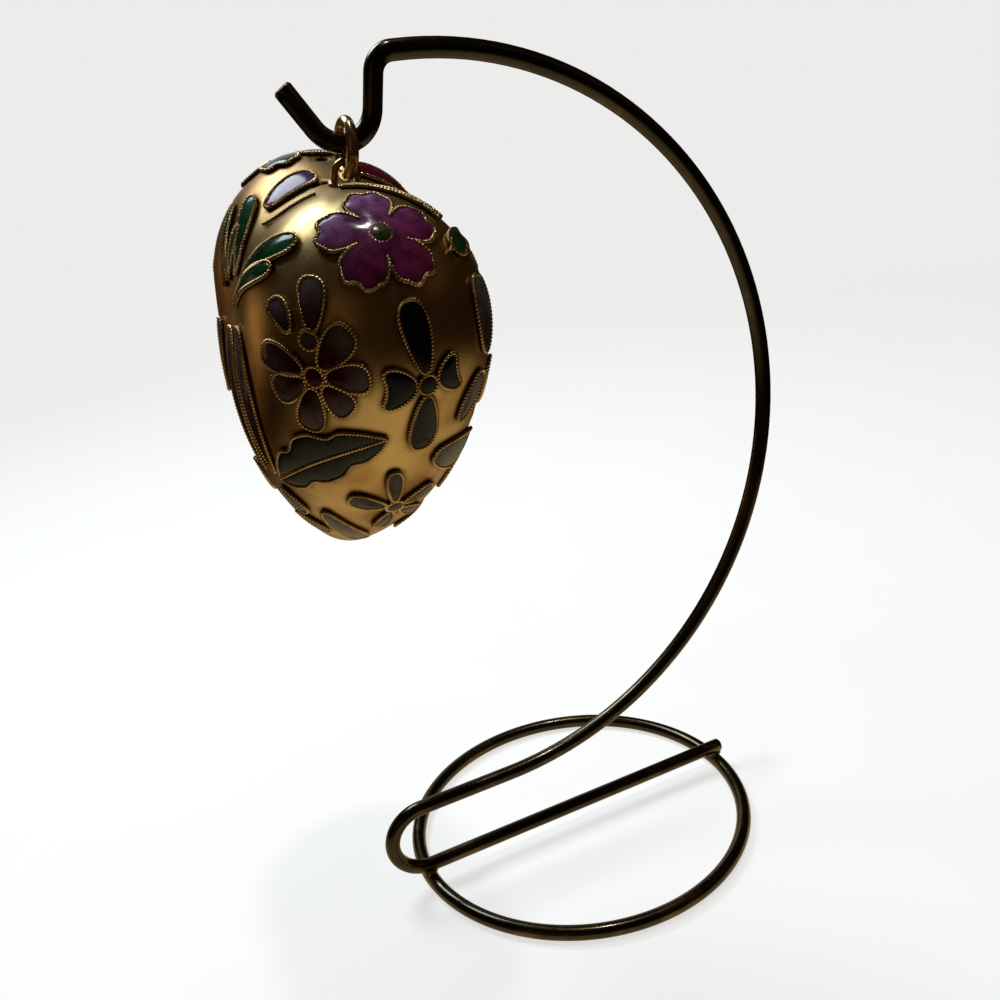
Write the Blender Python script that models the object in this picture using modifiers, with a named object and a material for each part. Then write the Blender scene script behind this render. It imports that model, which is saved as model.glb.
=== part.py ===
"""An enamelled puffed heart that hangs by a jump ring from the hook of a bent wire stand.

The stand is two wires: a round base ring that lies on the table, and one long wire that runs across
the ring as a bar, turns back in a small loop, sweeps up in a half circle and ends in a hook. Metres,
+Z up, with the origin on the table under the middle of the whole thing.
"""

import math

import bmesh
import bpy
import numpy as np
from mathutils import Euler, Vector

MM = 0.001

# Stand wire
WIRE = 2.5 * MM
JOINT_GAP = 0.3 * MM
RING_RADIUS = 30.0 * MM
BAR_OFFSET = -1.0 * MM
BAR_OVERHANG = 1.2 * MM
LOOP_INSET = 0.6 * MM
LOOP_RADIUS = 6.1 * MM
ARCH_RADIUS = 55.2 * MM
ARCH_CENTRE_X = -12.4 * MM

# Hook at the top of the stand
HOOK_RUN = 0.6 * MM
CORNER_RADIUS = 2.8 * MM
DROP_LEAN = math.radians(12.7)
DROP_LENGTH = 3.9 * MM
HOOK_RADIUS = 4.35 * MM
HOOK_ARM_LENGTH = 5.7 * MM
HOOK_ARM_RISE = math.radians(58)

# Jump ring and the eyelet at the heart's cleft
JUMP_WIRE = 1.6 * MM
EYELET_WIRE = 0.9 * MM
EYELET_RADIUS = 1.5 * MM
JUMP_LIFT = 0.5 * MM
JUMP_SLACK = 0.1 * MM

# Heart
HEART_HEIGHT = 54.3 * MM
HEART_THICKNESS = 32.7 * MM
LOBE_RADIUS = 17.0 * MM
LOBE_OFFSET = 10.1 * MM
VALLEY_BLEND = 6.0 * MM
VALLEY_FILL = 3.7 * MM
VALLEY_START = 4.3 * MM
VALLEY_FADE = 22.0 * MM
TAPER_ROUND = 2.56
TAPER_POINT = 1.11
TIP_CUT = 0.3 * MM
TIP_BLEND = 2.0 * MM
HEART_TURN = Euler((math.radians(-8.8), math.radians(12.2), math.radians(-93.4)), "XYZ")

# Raised flowers and leaves on the heart
RELIEF = 0.55 * MM
RELIEF_SLOPE = 0.7 * MM
RING_EYE = 1.25 * MM
PETAL_START = 1.5 * MM
BLOSSOM_REACH = 7.9 * MM
BLOSSOM_VALLEY = 3.1 * MM
BLOSSOM_NOTCH = 0.7 * MM
BLOSSOM_PETALS = 5
DAISY_REACHES = (6.6 * MM, 7.6 * MM, 5.8 * MM, 7.6 * MM, 6.5 * MM, 6.8 * MM, 6.2 * MM)
DAISY_WIDTH = 4.2 * MM
LEAF_BOW = 2.0 * MM
LEAF_TEETH = 3
LEAF_NOTCH = 0.26
LEAF_SIDES = ((1, 0.95), (-1, 0.75))
PETAL_FULLNESS = 0.75
FLOWER_PINCH = 0.5
PETAL_PINCH = 0.3
SPRIG_PINCH = 0.6

# A second, smaller daisy grows out of this one. The angle, start, reach and width of each petal
DOUBLE_DAISY_PETALS = (
    (8, 1.5 * MM, 7.4 * MM, 4.2 * MM),
    (57, 1.5 * MM, 8.2 * MM, 4.4 * MM),
    (93.5, 5.4 * MM, 13.5 * MM, 4.3 * MM),
    (125, 5.9 * MM, 11.2 * MM, 3.3 * MM),
    (167, 1.5 * MM, 7.8 * MM, 3.8 * MM),
    (205, 1.5 * MM, 6.6 * MM, 3.8 * MM),
    (260, 1.5 * MM, 7.6 * MM, 4.2 * MM),
    (322, 1.5 * MM, 5.9 * MM, 4.0 * MM),
)
SECOND_EYE_ANGLE = 98
SECOND_EYE_REACH = 4.45 * MM

# The angle, reach, width and notch of each petal
IRIS_PETALS = (
    (102, 11.8 * MM, 3.9 * MM, 0.0),
    (183, 6.2 * MM, 6.6 * MM, 1.1 * MM),
    (274, 9.9 * MM, 4.2 * MM, 0.0),
    (16, 5.3 * MM, 6.2 * MM, 0.8 * MM),
)
SMALL_PETALS = (
    (84, 8.4 * MM, 2.8 * MM, 0.0),
    (148, 7.2 * MM, 3.8 * MM, 0.0),
    (4, 6.2 * MM, 3.4 * MM, 0.0),
    (246, 7.2 * MM, 3.0 * MM, 0.0),
    (300, 6.4 * MM, 3.0 * MM, 0.0),
)

# Where the flowers are: longitude from the near lobe towards the front, latitude, and turn, in degrees
BLOSSOMS = ((3.7, 48.0, 95), (176, 42, 85), (-72, 38, 60))
DOUBLE_DAISIES = ((23.9, 14.5, 0),)
DAISIES = ((152, 12, 30), (-114, 12, 10))
IRISES = ((-5.7, 12.7, 0), (192, 8, 0))
SMALL_FLOWERS = ((-4.2, -36.3, 18), (180, -40, 0), (-72, -14, 40))

# Single petals and leaves: longitude and latitude of the base and of the tip, then the width
PETALS = (
    (104, 62, 140, 78, 4.6 * MM),
    (-21, -2, -29, 12, 4.4 * MM),
    (-30, 17, -31, 37, 5.6 * MM),
    (-14, -13, -44, -22, 6.5 * MM),
    (-170, 78, -122, 56, 5.0 * MM),
    (-10, 78, -62, 62, 5.0 * MM),
    (51, -43, 38, -51, 3.6 * MM),
    (50, -57, 27, -62, 3.2 * MM),
    (26, -44, 2, -66, 4.4 * MM),
    (108, -20, 112, 12, 3.2 * MM),
    (126, -48, 110, -60, 3.4 * MM),
    (226, -8, 220, 16, 4.0 * MM),
    (-52, -8, -40, 12, 4.0 * MM),
    (-122, -48, -96, -8, 4.4 * MM),
    (-50, -58, -20, -60, 3.6 * MM),
    (100, -62, 84, -46, 3.4 * MM),
)
SPRIGS = (
    (72, 38, 34, 47.5, 4.2 * MM),
    (84, 28, 42, 40.5, 3.2 * MM),
    (90, 38, 122, 57, 3.6 * MM),
    (100, 33, 112, 49, 1.8 * MM),
    (104, 29, 128, 48, 1.8 * MM),
    (-50, 50, -24, 44, 4.0 * MM),
    (22, 74, -34, 55, 2.2 * MM),
    (57, -40, 59, 20, 2.8 * MM),
    (72, -42, 78, 16, 2.8 * MM),
    (92, -38, 92, 14, 2.8 * MM),
    (150, 36, 140, 60, 3.4 * MM),
    (-100, 32, -120, 52, 3.2 * MM),
)
LEAVES = (
    (46, -34.5, 4, -3, 9.0 * MM),
    (128, -40, 158, -8, 8.6 * MM),
    (-138, -42, -154, -10, 8.0 * MM),
    (-36, -42, -60, -34, 5.6 * MM),
)

# Mesh fineness
RING_STEPS = 72
RING_SIDES = 10
JUMP_STEPS = 36
JUMP_SIDES = 8
EYELET_STEPS = 12
PETAL_STEPS = 24
EYE_STEPS = 16
ARC_STEP = math.radians(6)
HEART_MERIDIANS = 144
HEART_PARALLELS = 96
HEART_FACES = 6000

HEART_MIDDLE = np.array([0.0, 0.0, 0.55 * HEART_HEIGHT])
STAND_COLOUR = (0.12, 0.085, 0.035, 1.0)
GILT_COLOUR = (0.80, 0.58, 0.24, 1.0)

# Heights that follow from the sizes above
BAR_HEIGHT = 1.5 * WIRE + JOINT_GAP
ARCH_CENTRE_Z = BAR_HEIGHT + 2 * LOOP_RADIUS + ARCH_RADIUS
JUMP_INNER_RADIUS = (WIRE + EYELET_WIRE + 3 * JOINT_GAP + JUMP_SLACK) / 2
JUMP_CENTRE_RADIUS = JUMP_INNER_RADIUS + JUMP_WIRE / 2
JUMP_CENTRE_RISE = JUMP_LIFT + JUMP_WIRE + JUMP_INNER_RADIUS
HOOK_RISE = JUMP_CENTRE_RISE + JUMP_INNER_RADIUS - JOINT_GAP - WIRE / 2


def clear_scene():
    for item in list(bpy.data.objects):
        bpy.data.objects.remove(item, do_unlink=True)


def new_collection(name):
    collection = bpy.data.collections.new(name)
    bpy.context.scene.collection.children.link(collection)
    return collection


def metal(name, colour, roughness):
    material = bpy.data.materials.new(name)
    material.use_nodes = True
    shader = material.node_tree.nodes["Principled BSDF"]
    shader.inputs["Base Color"].default_value = colour
    shader.inputs["Metallic"].default_value = 1.0
    shader.inputs["Roughness"].default_value = roughness
    return material


def add_object(name, data, collection, material, parent):
    item = bpy.data.objects.new(name, data)
    item.data.materials.append(material)
    item.parent = parent
    collection.objects.link(item)
    return item


class WirePath:
    """Points of a bent wire in the XZ plane, made of straight runs and round bends."""

    def __init__(self, x, z, heading):
        self.points = [Vector((x, 0.0, z))]
        self.heading = heading

    def straight(self, length):
        step = Vector((math.cos(self.heading), 0.0, math.sin(self.heading))) * length
        self.points.append(self.points[-1] + step)

    def bend(self, radius, turn):
        """Turns left for a positive angle and right for a negative one."""
        side = math.copysign(1.0, turn)
        to_centre = self.heading + side * math.pi / 2
        centre = self.points[-1] + Vector((math.cos(to_centre), 0.0, math.sin(to_centre))) * radius
        steps = max(3, math.ceil(abs(turn) / ARC_STEP))
        for i in range(1, steps + 1):
            angle = to_centre + math.pi + turn * i / steps
            self.points.append(centre + Vector((math.cos(angle), 0.0, math.sin(angle))) * radius)
        self.heading += turn


def wire_object(name, points, diameter, collection, material, parent):
    curve = bpy.data.curves.new(name, "CURVE")
    curve.dimensions = "3D"
    curve.bevel_depth = diameter / 2
    curve.bevel_resolution = 2
    curve.use_fill_caps = True
    spline = curve.splines.new("POLY")
    spline.points.add(len(points) - 1)
    for point, place in zip(spline.points, points):
        point.co = (*place, 1.0)
    return add_object(name, curve, collection, material, parent)


def turned_ring(name, radius, diameter, sides, steps, collection, material, parent):
    """A closed ring of wire about Z, with a flat of its section facing down."""
    shape = bmesh.new()
    section = []
    for i in range(sides):
        angle = -2 * math.pi * (i + 0.5) / sides - math.pi / 2
        reach = diameter / 2 / math.cos(math.pi / sides)
        section.append(shape.verts.new((radius + reach * math.cos(angle), 0.0, reach * math.sin(angle))))
    for i in range(sides):
        shape.edges.new((section[i], section[(i + 1) % sides]))
    mesh = bpy.data.meshes.new(name)
    shape.to_mesh(mesh)
    shape.free()
    item = add_object(name, mesh, collection, material, parent)
    screw = item.modifiers.new("Turn", "SCREW")
    screw.steps = steps
    screw.render_steps = steps
    screw.use_merge_vertices = True
    screw.merge_threshold = 0.000001
    screw.use_smooth_shade = True
    return item


def lobe_distance(x, y, z, side):
    """How far points lie outside one lobe: a ball on top that tapers down to the heart's tip."""
    top = HEART_HEIGHT - LOBE_RADIUS
    length = math.hypot(LOBE_OFFSET, top)
    along_x, along_z = side * LOBE_OFFSET / length, top / length
    share = np.clip((x * along_x + z * along_z) / length, 0.0001, 1.0)
    radius = LOBE_RADIUS * (1 - (1 - share) ** TAPER_ROUND) ** (1 / TAPER_POINT)
    return np.sqrt((x - share * length * along_x) ** 2 + y**2 + (z - share * length * along_z) ** 2) - radius


def smooth_larger(one, other, blend):
    """The larger of two values, with the change from one to the other rounded over."""
    share = np.maximum(blend - np.abs(one - other), 0) / blend
    return np.maximum(one, other) + share**2 * blend / 4


def heart_distance(points):
    """Negative inside the heart. X runs from lobe to lobe, Y front to back, and Z up from the tip."""
    x, y, z = points[:, 0], points[:, 1] * 2 * LOBE_RADIUS / HEART_THICKNESS, points[:, 2]
    one, other = lobe_distance(x, y, z, -1), lobe_distance(x, y, z, 1)
    fade = np.clip((HEART_HEIGHT - VALLEY_START - z) / VALLEY_FADE, 0.0, 1.0)
    lobes = -smooth_larger(-one, -other, VALLEY_BLEND + VALLEY_FILL * fade)
    return smooth_larger(lobes, TIP_CUT - z, TIP_BLEND)


def heart_surface(directions):
    """Where rays from the heart's middle leave it, found by halving."""
    near, far = np.zeros(len(directions)), np.full(len(directions), HEART_HEIGHT)
    for _ in range(30):
        half = (near + far) / 2
        inside = heart_distance(HEART_MIDDLE + directions * half[:, None]) < 0
        near, far = np.where(inside, half, near), np.where(inside, far, half)
    return HEART_MIDDLE + directions * near[:, None]


def cleft_height():
    """How high the ground lies in the cleft between the lobes."""
    return heart_surface(np.array([[0.0, 0.0, 1.0]]))[0, 2] - RELIEF


def petal(start, reach, width, notch=0.0, pinch=FLOWER_PINCH):
    """A petal along the first axis, narrower towards its start, with a notch in its tip."""
    angle = 2 * math.pi * np.arange(PETAL_STEPS) / PETAL_STEPS
    share = (1 - np.cos(angle)) / 2
    along = start + (reach - start) * share - notch * np.exp(-(((angle - math.pi) / 0.5) ** 2))
    bulge = np.sign(np.sin(angle)) * np.abs(np.sin(angle)) ** PETAL_FULLNESS
    across = width / 2 * bulge * (1 - pinch * (1 - share))
    return np.stack([along, across], axis=1)


def circle(radius):
    angle = 2 * math.pi * np.arange(EYE_STEPS) / EYE_STEPS
    return radius * np.stack([np.cos(angle), np.sin(angle)], axis=1)


def blossom():
    """One outline round joined petals with waved and notched tips."""
    steps = PETAL_STEPS * BLOSSOM_PETALS
    angle = 2 * math.pi * np.arange(steps) / steps
    half = math.pi / BLOSSOM_PETALS
    off = (angle + half) % (2 * half) - half
    swell = (1 - np.abs(off / half) ** 3.2) ** 0.55
    notches = np.exp(-((off / 0.11) ** 2)) + 0.6 * np.exp(-(((np.abs(off) - 0.36) / 0.09) ** 2))
    radius = BLOSSOM_VALLEY + (BLOSSOM_REACH - BLOSSOM_VALLEY) * swell - BLOSSOM_NOTCH * notches
    return radius[:, None] * np.stack([np.cos(angle), np.sin(angle)], axis=1)


def leaf_side(length, width, side):
    """One side of a leaf along the first axis, from its bowed vein to its toothed edge."""
    share = np.arange(PETAL_STEPS + 1) / PETAL_STEPS
    vein = LEAF_BOW * np.sin(math.pi * share)
    body = width / 2 * np.maximum(np.sin(math.pi * share**0.95), 0) ** 0.65
    scallop = 1 - LEAF_NOTCH * np.abs(np.cos(math.pi * LEAF_TEETH * share)) ** 5
    out = np.stack([length * share, vein], axis=1)
    back = np.stack([length * share, vein + side * body * scallop], axis=1)[::-1]
    return np.concatenate([out, back[1:-1]])


def leaf_sides(length, width):
    return [leaf_side(length, width * share, side) for side, share in LEAF_SIDES]


def turned(points, angle, shift=(0.0, 0.0)):
    along, across = points[:, 0], points[:, 1]
    first = along * math.cos(angle) - across * math.sin(angle) + shift[0]
    second = along * math.sin(angle) + across * math.cos(angle) + shift[1]
    return np.stack([first, second], axis=1)


def directions_at(longitudes, latitudes):
    around, up = np.radians(longitudes), np.radians(latitudes)
    return np.stack([np.cos(up) * np.cos(around), -np.cos(up) * np.sin(around), np.sin(up)], axis=1)


class Plane:
    """A plane that touches the heart, with its own axes to the right and up, seen from outside."""

    def __init__(self, longitude, latitude):
        step = 0.01
        longitudes = longitude + step * np.array([0, 1, -1, 0, 0])
        latitudes = latitude + step * np.array([0, 0, 0, -1, 1])
        self.place, left, right, below, above = heart_surface(directions_at(longitudes, latitudes))
        self.outward = np.cross(right - left, above - below)
        self.outward /= np.linalg.norm(self.outward)
        self.up = (above - below) / np.linalg.norm(above - below)
        self.right = np.cross(self.up, self.outward)

    def shadow(self, directions):
        """Where rays from the heart's middle cross the plane."""
        share = (self.place - HEART_MIDDLE) @ self.outward / (directions @ self.outward)
        offset = HEART_MIDDLE + directions * share[:, None] - self.place
        return np.stack([offset @ self.right, offset @ self.up], axis=1)


def flower_cells(flowers, outlines):
    cells = []
    for longitude, latitude, turn in flowers:
        plane = Plane(longitude, latitude)
        cells += [(plane, turned(outline, math.radians(turn))) for outline in outlines]
    return cells


def stroke_cells(strokes, outlines):
    """Outlines laid from base to tip; outlines(length, width) gives them along the first axis."""
    cells = []
    for base_longitude, base_latitude, tip_longitude, tip_latitude, width in strokes:
        ends = directions_at([base_longitude, tip_longitude], [base_latitude, tip_latitude])
        middle = ends.sum(axis=0) / np.linalg.norm(ends.sum(axis=0))
        longitude = math.degrees(math.atan2(-middle[1], middle[0]))
        plane = Plane(longitude, math.degrees(math.asin(middle[2])))
        base, tip = plane.shadow(ends)
        length = math.hypot(*(tip - base))
        angle = math.atan2(tip[1] - base[1], tip[0] - base[0])
        cells += [(plane, turned(outline, angle, base)) for outline in outlines(length, width)]
    return cells


def pattern_cells():
    daisy_turn = 2 * math.pi / len(DAISY_REACHES)
    daisy = [petal(PETAL_START, reach, DAISY_WIDTH) for reach in DAISY_REACHES]
    daisy = [turned(outline, i * daisy_turn) for i, outline in enumerate(daisy)]
    iris = [turned(petal(PETAL_START, *sizes), math.radians(angle)) for angle, *sizes in IRIS_PETALS]
    small = [turned(petal(PETAL_START, *sizes), math.radians(angle)) for angle, *sizes in SMALL_PETALS]
    eye = [circle(RING_EYE)]
    double = [turned(petal(*sizes), math.radians(angle)) for angle, *sizes in DOUBLE_DAISY_PETALS]
    second = math.radians(SECOND_EYE_ANGLE)
    shift = (SECOND_EYE_REACH * math.cos(second), SECOND_EYE_REACH * math.sin(second))
    double.append(turned(circle(RING_EYE), 0.0, shift))
    cells = flower_cells(BLOSSOMS, [blossom()]) + flower_cells(DAISIES, daisy + eye)
    cells += flower_cells(DOUBLE_DAISIES, double + eye)
    cells += flower_cells(IRISES, iris + eye) + flower_cells(SMALL_FLOWERS, small + eye)
    cells += stroke_cells(PETALS, lambda length, width: [petal(0.0, length, width, 0.0, PETAL_PINCH)])
    cells += stroke_cells(SPRIGS, lambda length, width: [petal(0.0, length, width, 0.0, SPRIG_PINCH)])
    return cells + stroke_cells(LEAVES, leaf_sides)


def distance_outside(points, outline):
    """How far points in a plane lie outside a closed outline, and nought inside it."""
    start, run = outline, np.roll(outline, -1, axis=0) - outline
    offset = points[:, None] - start
    share = np.clip((offset * run).sum(axis=2) / (run**2).sum(axis=1), 0.0, 1.0)
    distance = np.linalg.norm(offset - share[:, :, None] * run, axis=2).min(axis=1)
    above = start[:, 1] > points[:, 1:]
    crosses = above != np.roll(above, -1, axis=1)
    level = np.where(run[:, 1] == 0, 1.0, run[:, 1])
    to_right = points[:, :1] < start[:, 0] + (points[:, 1:] - start[:, 1]) * run[:, 0] / level
    inside = (crosses & to_right).sum(axis=1) % 2 == 1
    return np.where(inside, 0.0, distance)


def raised_share(directions):
    """One on the flowers and leaves, nought on the ground between them, and between on the slopes."""
    raised = np.zeros(len(directions))
    for plane, outline in pattern_cells():
        middle = outline.mean(axis=0)
        reach = np.linalg.norm(outline - middle, axis=1).max() + RELIEF_SLOPE
        facing = np.flatnonzero(directions @ plane.outward > 0.3)
        points = plane.shadow(directions[facing])
        close = np.linalg.norm(points - middle, axis=1) < reach
        distance = distance_outside(points[close], outline)
        chosen = facing[close]
        raised[chosen] = np.maximum(raised[chosen], 1 - np.minimum(distance / RELIEF_SLOPE, 1))
    return raised * raised * (3 - 2 * raised)


def build_base_ring(collection, material, root):
    ring = turned_ring("base_ring", RING_RADIUS, WIRE, RING_SIDES, RING_STEPS, collection, material, root)
    ring.location = (0.0, 0.0, WIRE / 2)


def stand_path():
    path = WirePath(RING_RADIUS + BAR_OVERHANG, BAR_HEIGHT, math.pi)
    path.straight(2 * RING_RADIUS + BAR_OVERHANG - LOOP_INSET)
    path.bend(LOOP_RADIUS, -math.pi)
    path.straight(ARCH_CENTRE_X + RING_RADIUS - LOOP_INSET)
    path.bend(ARCH_RADIUS, math.pi)
    path.straight(HOOK_RUN)
    path.bend(CORNER_RADIUS, math.pi / 2 - DROP_LEAN)
    path.straight(DROP_LENGTH)
    path.bend(HOOK_RADIUS, -(math.pi / 2 - DROP_LEAN))
    lowest = path.points[-1].copy()
    path.bend(HOOK_RADIUS, -HOOK_ARM_RISE)
    path.straight(HOOK_ARM_LENGTH)
    return path.points, lowest


def build_stand_wire(collection, material, root):
    points, lowest = stand_path()
    wire = wire_object("stand_wire", points, WIRE, collection, material, root)
    wire.location = (0.0, BAR_OFFSET, 0.0)
    return lowest + Vector((0.0, BAR_OFFSET, 0.0))


def build_jump_ring(collection, material, cleft):
    sizes = (JUMP_CENTRE_RADIUS, JUMP_WIRE, JUMP_SIDES, JUMP_STEPS)
    ring = turned_ring("jump_ring", *sizes, collection, material, cleft)
    ring.location = (0.0, 0.0, JUMP_CENTRE_RISE)
    ring.rotation_euler = (math.pi / 2, 0.0, 0.0)


def build_eyelet(collection, material, cleft):
    top = JUMP_LIFT + JUMP_WIRE + JOINT_GAP + EYELET_WIRE / 2
    points = [Vector((0.0, -EYELET_RADIUS, JOINT_GAP))]
    for i in range(EYELET_STEPS + 1):
        angle = math.pi - math.pi * i / EYELET_STEPS
        height = top - EYELET_RADIUS * (1 - math.sin(angle))
        points.append(Vector((0.0, EYELET_RADIUS * math.cos(angle), height)))
    points.append(Vector((0.0, EYELET_RADIUS, JOINT_GAP)))
    wire_object("eyelet", points, EYELET_WIRE, collection, material, cleft)


def build_heart(collection, material, cleft):
    shape = bmesh.new()
    bmesh.ops.create_uvsphere(shape, u_segments=HEART_MERIDIANS, v_segments=HEART_PARALLELS, radius=1.0)
    directions = np.array([tuple(vert.co.normalized()) for vert in shape.verts])
    sunk = RELIEF * (1 - raised_share(directions))
    for vert, place in zip(shape.verts, heart_surface(directions) - directions * sunk[:, None]):
        vert.co = place
    faces = 2 * HEART_MERIDIANS * (HEART_PARALLELS - 1)
    mesh = bpy.data.meshes.new("heart")
    shape.to_mesh(mesh)
    shape.free()
    mesh.shade_smooth()
    heart = add_object("heart", mesh, collection, material, cleft)
    heart.location = (0.0, 0.0, -cleft_height())
    thin = heart.modifiers.new("Fewer faces", "DECIMATE")
    thin.ratio = HEART_FACES / faces
    return heart


def centre_on_footprint(root):
    """Moves everything so that the middle of its bounding box stands over the origin."""
    bpy.context.view_layer.update()
    graph = bpy.context.evaluated_depsgraph_get()
    low, high = Vector((1.0, 1.0, 1.0)), Vector((-1.0, -1.0, -1.0))
    for item in bpy.data.objects:
        if item.type == "EMPTY":
            continue
        solid = item.evaluated_get(graph)
        for vert in solid.to_mesh().vertices:
            place = solid.matrix_world @ vert.co
            low = Vector(map(min, low, place))
            high = Vector(map(max, high, place))
        solid.to_mesh_clear()
    root.location = (-(low.x + high.x) / 2, -(low.y + high.y) / 2, -low.z)
    bpy.context.view_layer.update()


def main():
    clear_scene()
    collection = new_collection("enamel_heart_ornament")
    stand_metal = metal("antique_brass_wire", STAND_COLOUR, 0.3)
    gilt = metal("gilt_brass", GILT_COLOUR, 0.25)
    root = bpy.data.objects.new("stand_origin", None)
    cleft = bpy.data.objects.new("heart_cleft", None)
    collection.objects.link(root)
    collection.objects.link(cleft)
    build_base_ring(collection, stand_metal, root)
    hook = build_stand_wire(collection, stand_metal, root)
    cleft.parent = root
    cleft.rotation_euler = HEART_TURN
    up = HEART_TURN.to_matrix() @ Vector((0.0, 0.0, 1.0))
    cleft.location = hook - up * HOOK_RISE
    build_jump_ring(collection, gilt, cleft)
    build_eyelet(collection, gilt, cleft)
    build_heart(collection, gilt, cleft)
    centre_on_footprint(root)


main()
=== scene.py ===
"""An enamelled puffed heart on its bent wire stand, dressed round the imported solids.

The heart's pattern is laid out in degrees on the heart: longitude runs from the near lobe towards the
front, and latitude from the tip to the cleft. Sizes in the properties are in metres.
"""

import math

import bmesh
import bpy
import numpy as np
from mathutils import Euler, Matrix, Vector
from mathutils.geometry import delaunay_2d_cdt


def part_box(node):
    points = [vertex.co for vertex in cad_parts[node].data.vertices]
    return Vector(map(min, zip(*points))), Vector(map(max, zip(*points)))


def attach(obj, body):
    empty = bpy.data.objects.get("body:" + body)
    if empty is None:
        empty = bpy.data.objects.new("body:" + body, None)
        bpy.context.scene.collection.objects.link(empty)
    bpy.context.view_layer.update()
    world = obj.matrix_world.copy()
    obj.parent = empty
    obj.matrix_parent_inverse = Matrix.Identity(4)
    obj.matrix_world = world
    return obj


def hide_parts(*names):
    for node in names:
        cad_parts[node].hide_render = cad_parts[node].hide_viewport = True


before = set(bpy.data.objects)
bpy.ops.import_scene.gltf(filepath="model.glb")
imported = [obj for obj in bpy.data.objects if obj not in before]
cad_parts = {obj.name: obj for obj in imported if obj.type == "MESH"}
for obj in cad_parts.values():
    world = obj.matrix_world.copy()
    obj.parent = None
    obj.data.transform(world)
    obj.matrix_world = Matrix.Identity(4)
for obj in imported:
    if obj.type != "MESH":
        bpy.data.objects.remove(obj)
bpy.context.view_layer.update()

bl_info = {
    "name": "Enamel Heart Ornament",
    "version": (1, 0, 0),
    "blender": (4, 5, 0),
    "location": "View3D > Sidebar > Ornament",
    "description": "Builds an enamelled heart on a wire stand, with its stage",
    "category": "Add Mesh",
}

MM = 0.001
RING_LOW, RING_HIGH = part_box("base_ring")
RING_CENTRE_X = (RING_LOW[0] + RING_HIGH[0]) / 2
STAND_CENTRE = Vector((RING_CENTRE_X, 0.0, 0.0))

# The heart's form, as in the solid
HEART_HEIGHT = 54.3 * MM
HEART_THICKNESS = 32.7 * MM
LOBE_RADIUS = 17.0 * MM
LOBE_OFFSET = 10.1 * MM
VALLEY_BLEND = 6.0 * MM
VALLEY_FILL = 3.7 * MM
VALLEY_START = 4.3 * MM
VALLEY_FADE = 22.0 * MM
TAPER_ROUND = 2.56
TAPER_POINT = 1.11
TIP_CUT = 0.3 * MM
TIP_BLEND = 2.0 * MM
HEART_MIDDLE = np.array([0.0, 0.0, 0.55 * HEART_HEIGHT])
HEART_TURN = Euler((math.radians(-8.8), math.radians(12.2), math.radians(-93.4)), "XYZ")
HALVINGS = 30

GROUND_DEPTH = 0.55 * MM

# The chain from hook to heart
STAND_WIRE = 2.5 * MM
JOINT_GAP = 0.3 * MM
JUMP_WIRE = 1.6 * MM
EYELET_WIRE = 0.9 * MM
EYELET_RADIUS = 1.5 * MM
JUMP_LIFT = 0.5 * MM
JUMP_SLACK = 0.1 * MM
JUMP_INNER_RADIUS = (STAND_WIRE + EYELET_WIRE + 3 * JOINT_GAP + JUMP_SLACK) / 2
JUMP_CENTRE_RADIUS = JUMP_INNER_RADIUS + JUMP_WIRE / 2
JUMP_CENTRE_RISE = JUMP_LIFT + JUMP_WIRE + JUMP_INNER_RADIUS
HOOK_RISE = JUMP_CENTRE_RISE + JUMP_INNER_RADIUS - JOINT_GAP - STAND_WIRE / 2

# The stand's path
RING_RADIUS = 30.0 * MM
BAR_OFFSET = -1.0 * MM
BAR_PLACE = Vector((0.0, BAR_OFFSET, 0.0)) + STAND_CENTRE
BAR_OVERHANG = 1.2 * MM
LOOP_INSET = 0.6 * MM
LOOP_RADIUS = 6.1 * MM
ARCH_RADIUS = 55.2 * MM
ARCH_CENTRE_X = -12.4 * MM
BAR_HEIGHT = 1.5 * STAND_WIRE + JOINT_GAP
HOOK_RUN = 0.6 * MM
CORNER_RADIUS = 2.8 * MM
DROP_LEAN = math.radians(12.7)
DROP_LENGTH = 3.9 * MM
HOOK_RADIUS = 4.35 * MM
HOOK_ARM_LENGTH = 5.7 * MM
HOOK_ARM_RISE = math.radians(58)


def columns(*parts):
    return np.stack(parts, axis=1)


def unit(vectors):
    return vectors / np.linalg.norm(vectors, axis=-1, keepdims=True)


# ---- Heart surface


def lobe_distance(x, y, z, side):
    """How far points lie outside one lobe: a ball on top that tapers down to the heart's tip."""
    top = HEART_HEIGHT - LOBE_RADIUS
    length = math.hypot(LOBE_OFFSET, top)
    along_x, along_z = side * LOBE_OFFSET / length, top / length
    share = np.clip((x * along_x + z * along_z) / length, 0.0001, 1.0)
    radius = LOBE_RADIUS * (1 - (1 - share) ** TAPER_ROUND) ** (1 / TAPER_POINT)
    reach = share * length
    return np.sqrt((x - reach * along_x) ** 2 + y**2 + (z - reach * along_z) ** 2) - radius


def smooth_larger(one, other, blend):
    """The larger of two distances, rounded off where they are nearly the same."""
    share = np.maximum(blend - np.abs(one - other), 0) / blend
    return np.maximum(one, other) + share**2 * blend / 4


def heart_distance(points):
    """Negative inside the heart. X runs from lobe to lobe, Y front to back, and Z up from the tip."""
    x, y, z = points[:, 0], points[:, 1] * 2 * LOBE_RADIUS / HEART_THICKNESS, points[:, 2]
    one, other = lobe_distance(x, y, z, -1), lobe_distance(x, y, z, 1)
    fade = np.clip((HEART_HEIGHT - VALLEY_START - z) / VALLEY_FADE, 0.0, 1.0)
    lobes = -smooth_larger(-one, -other, VALLEY_BLEND + VALLEY_FILL * fade)
    return smooth_larger(lobes, TIP_CUT - z, TIP_BLEND)


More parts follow.
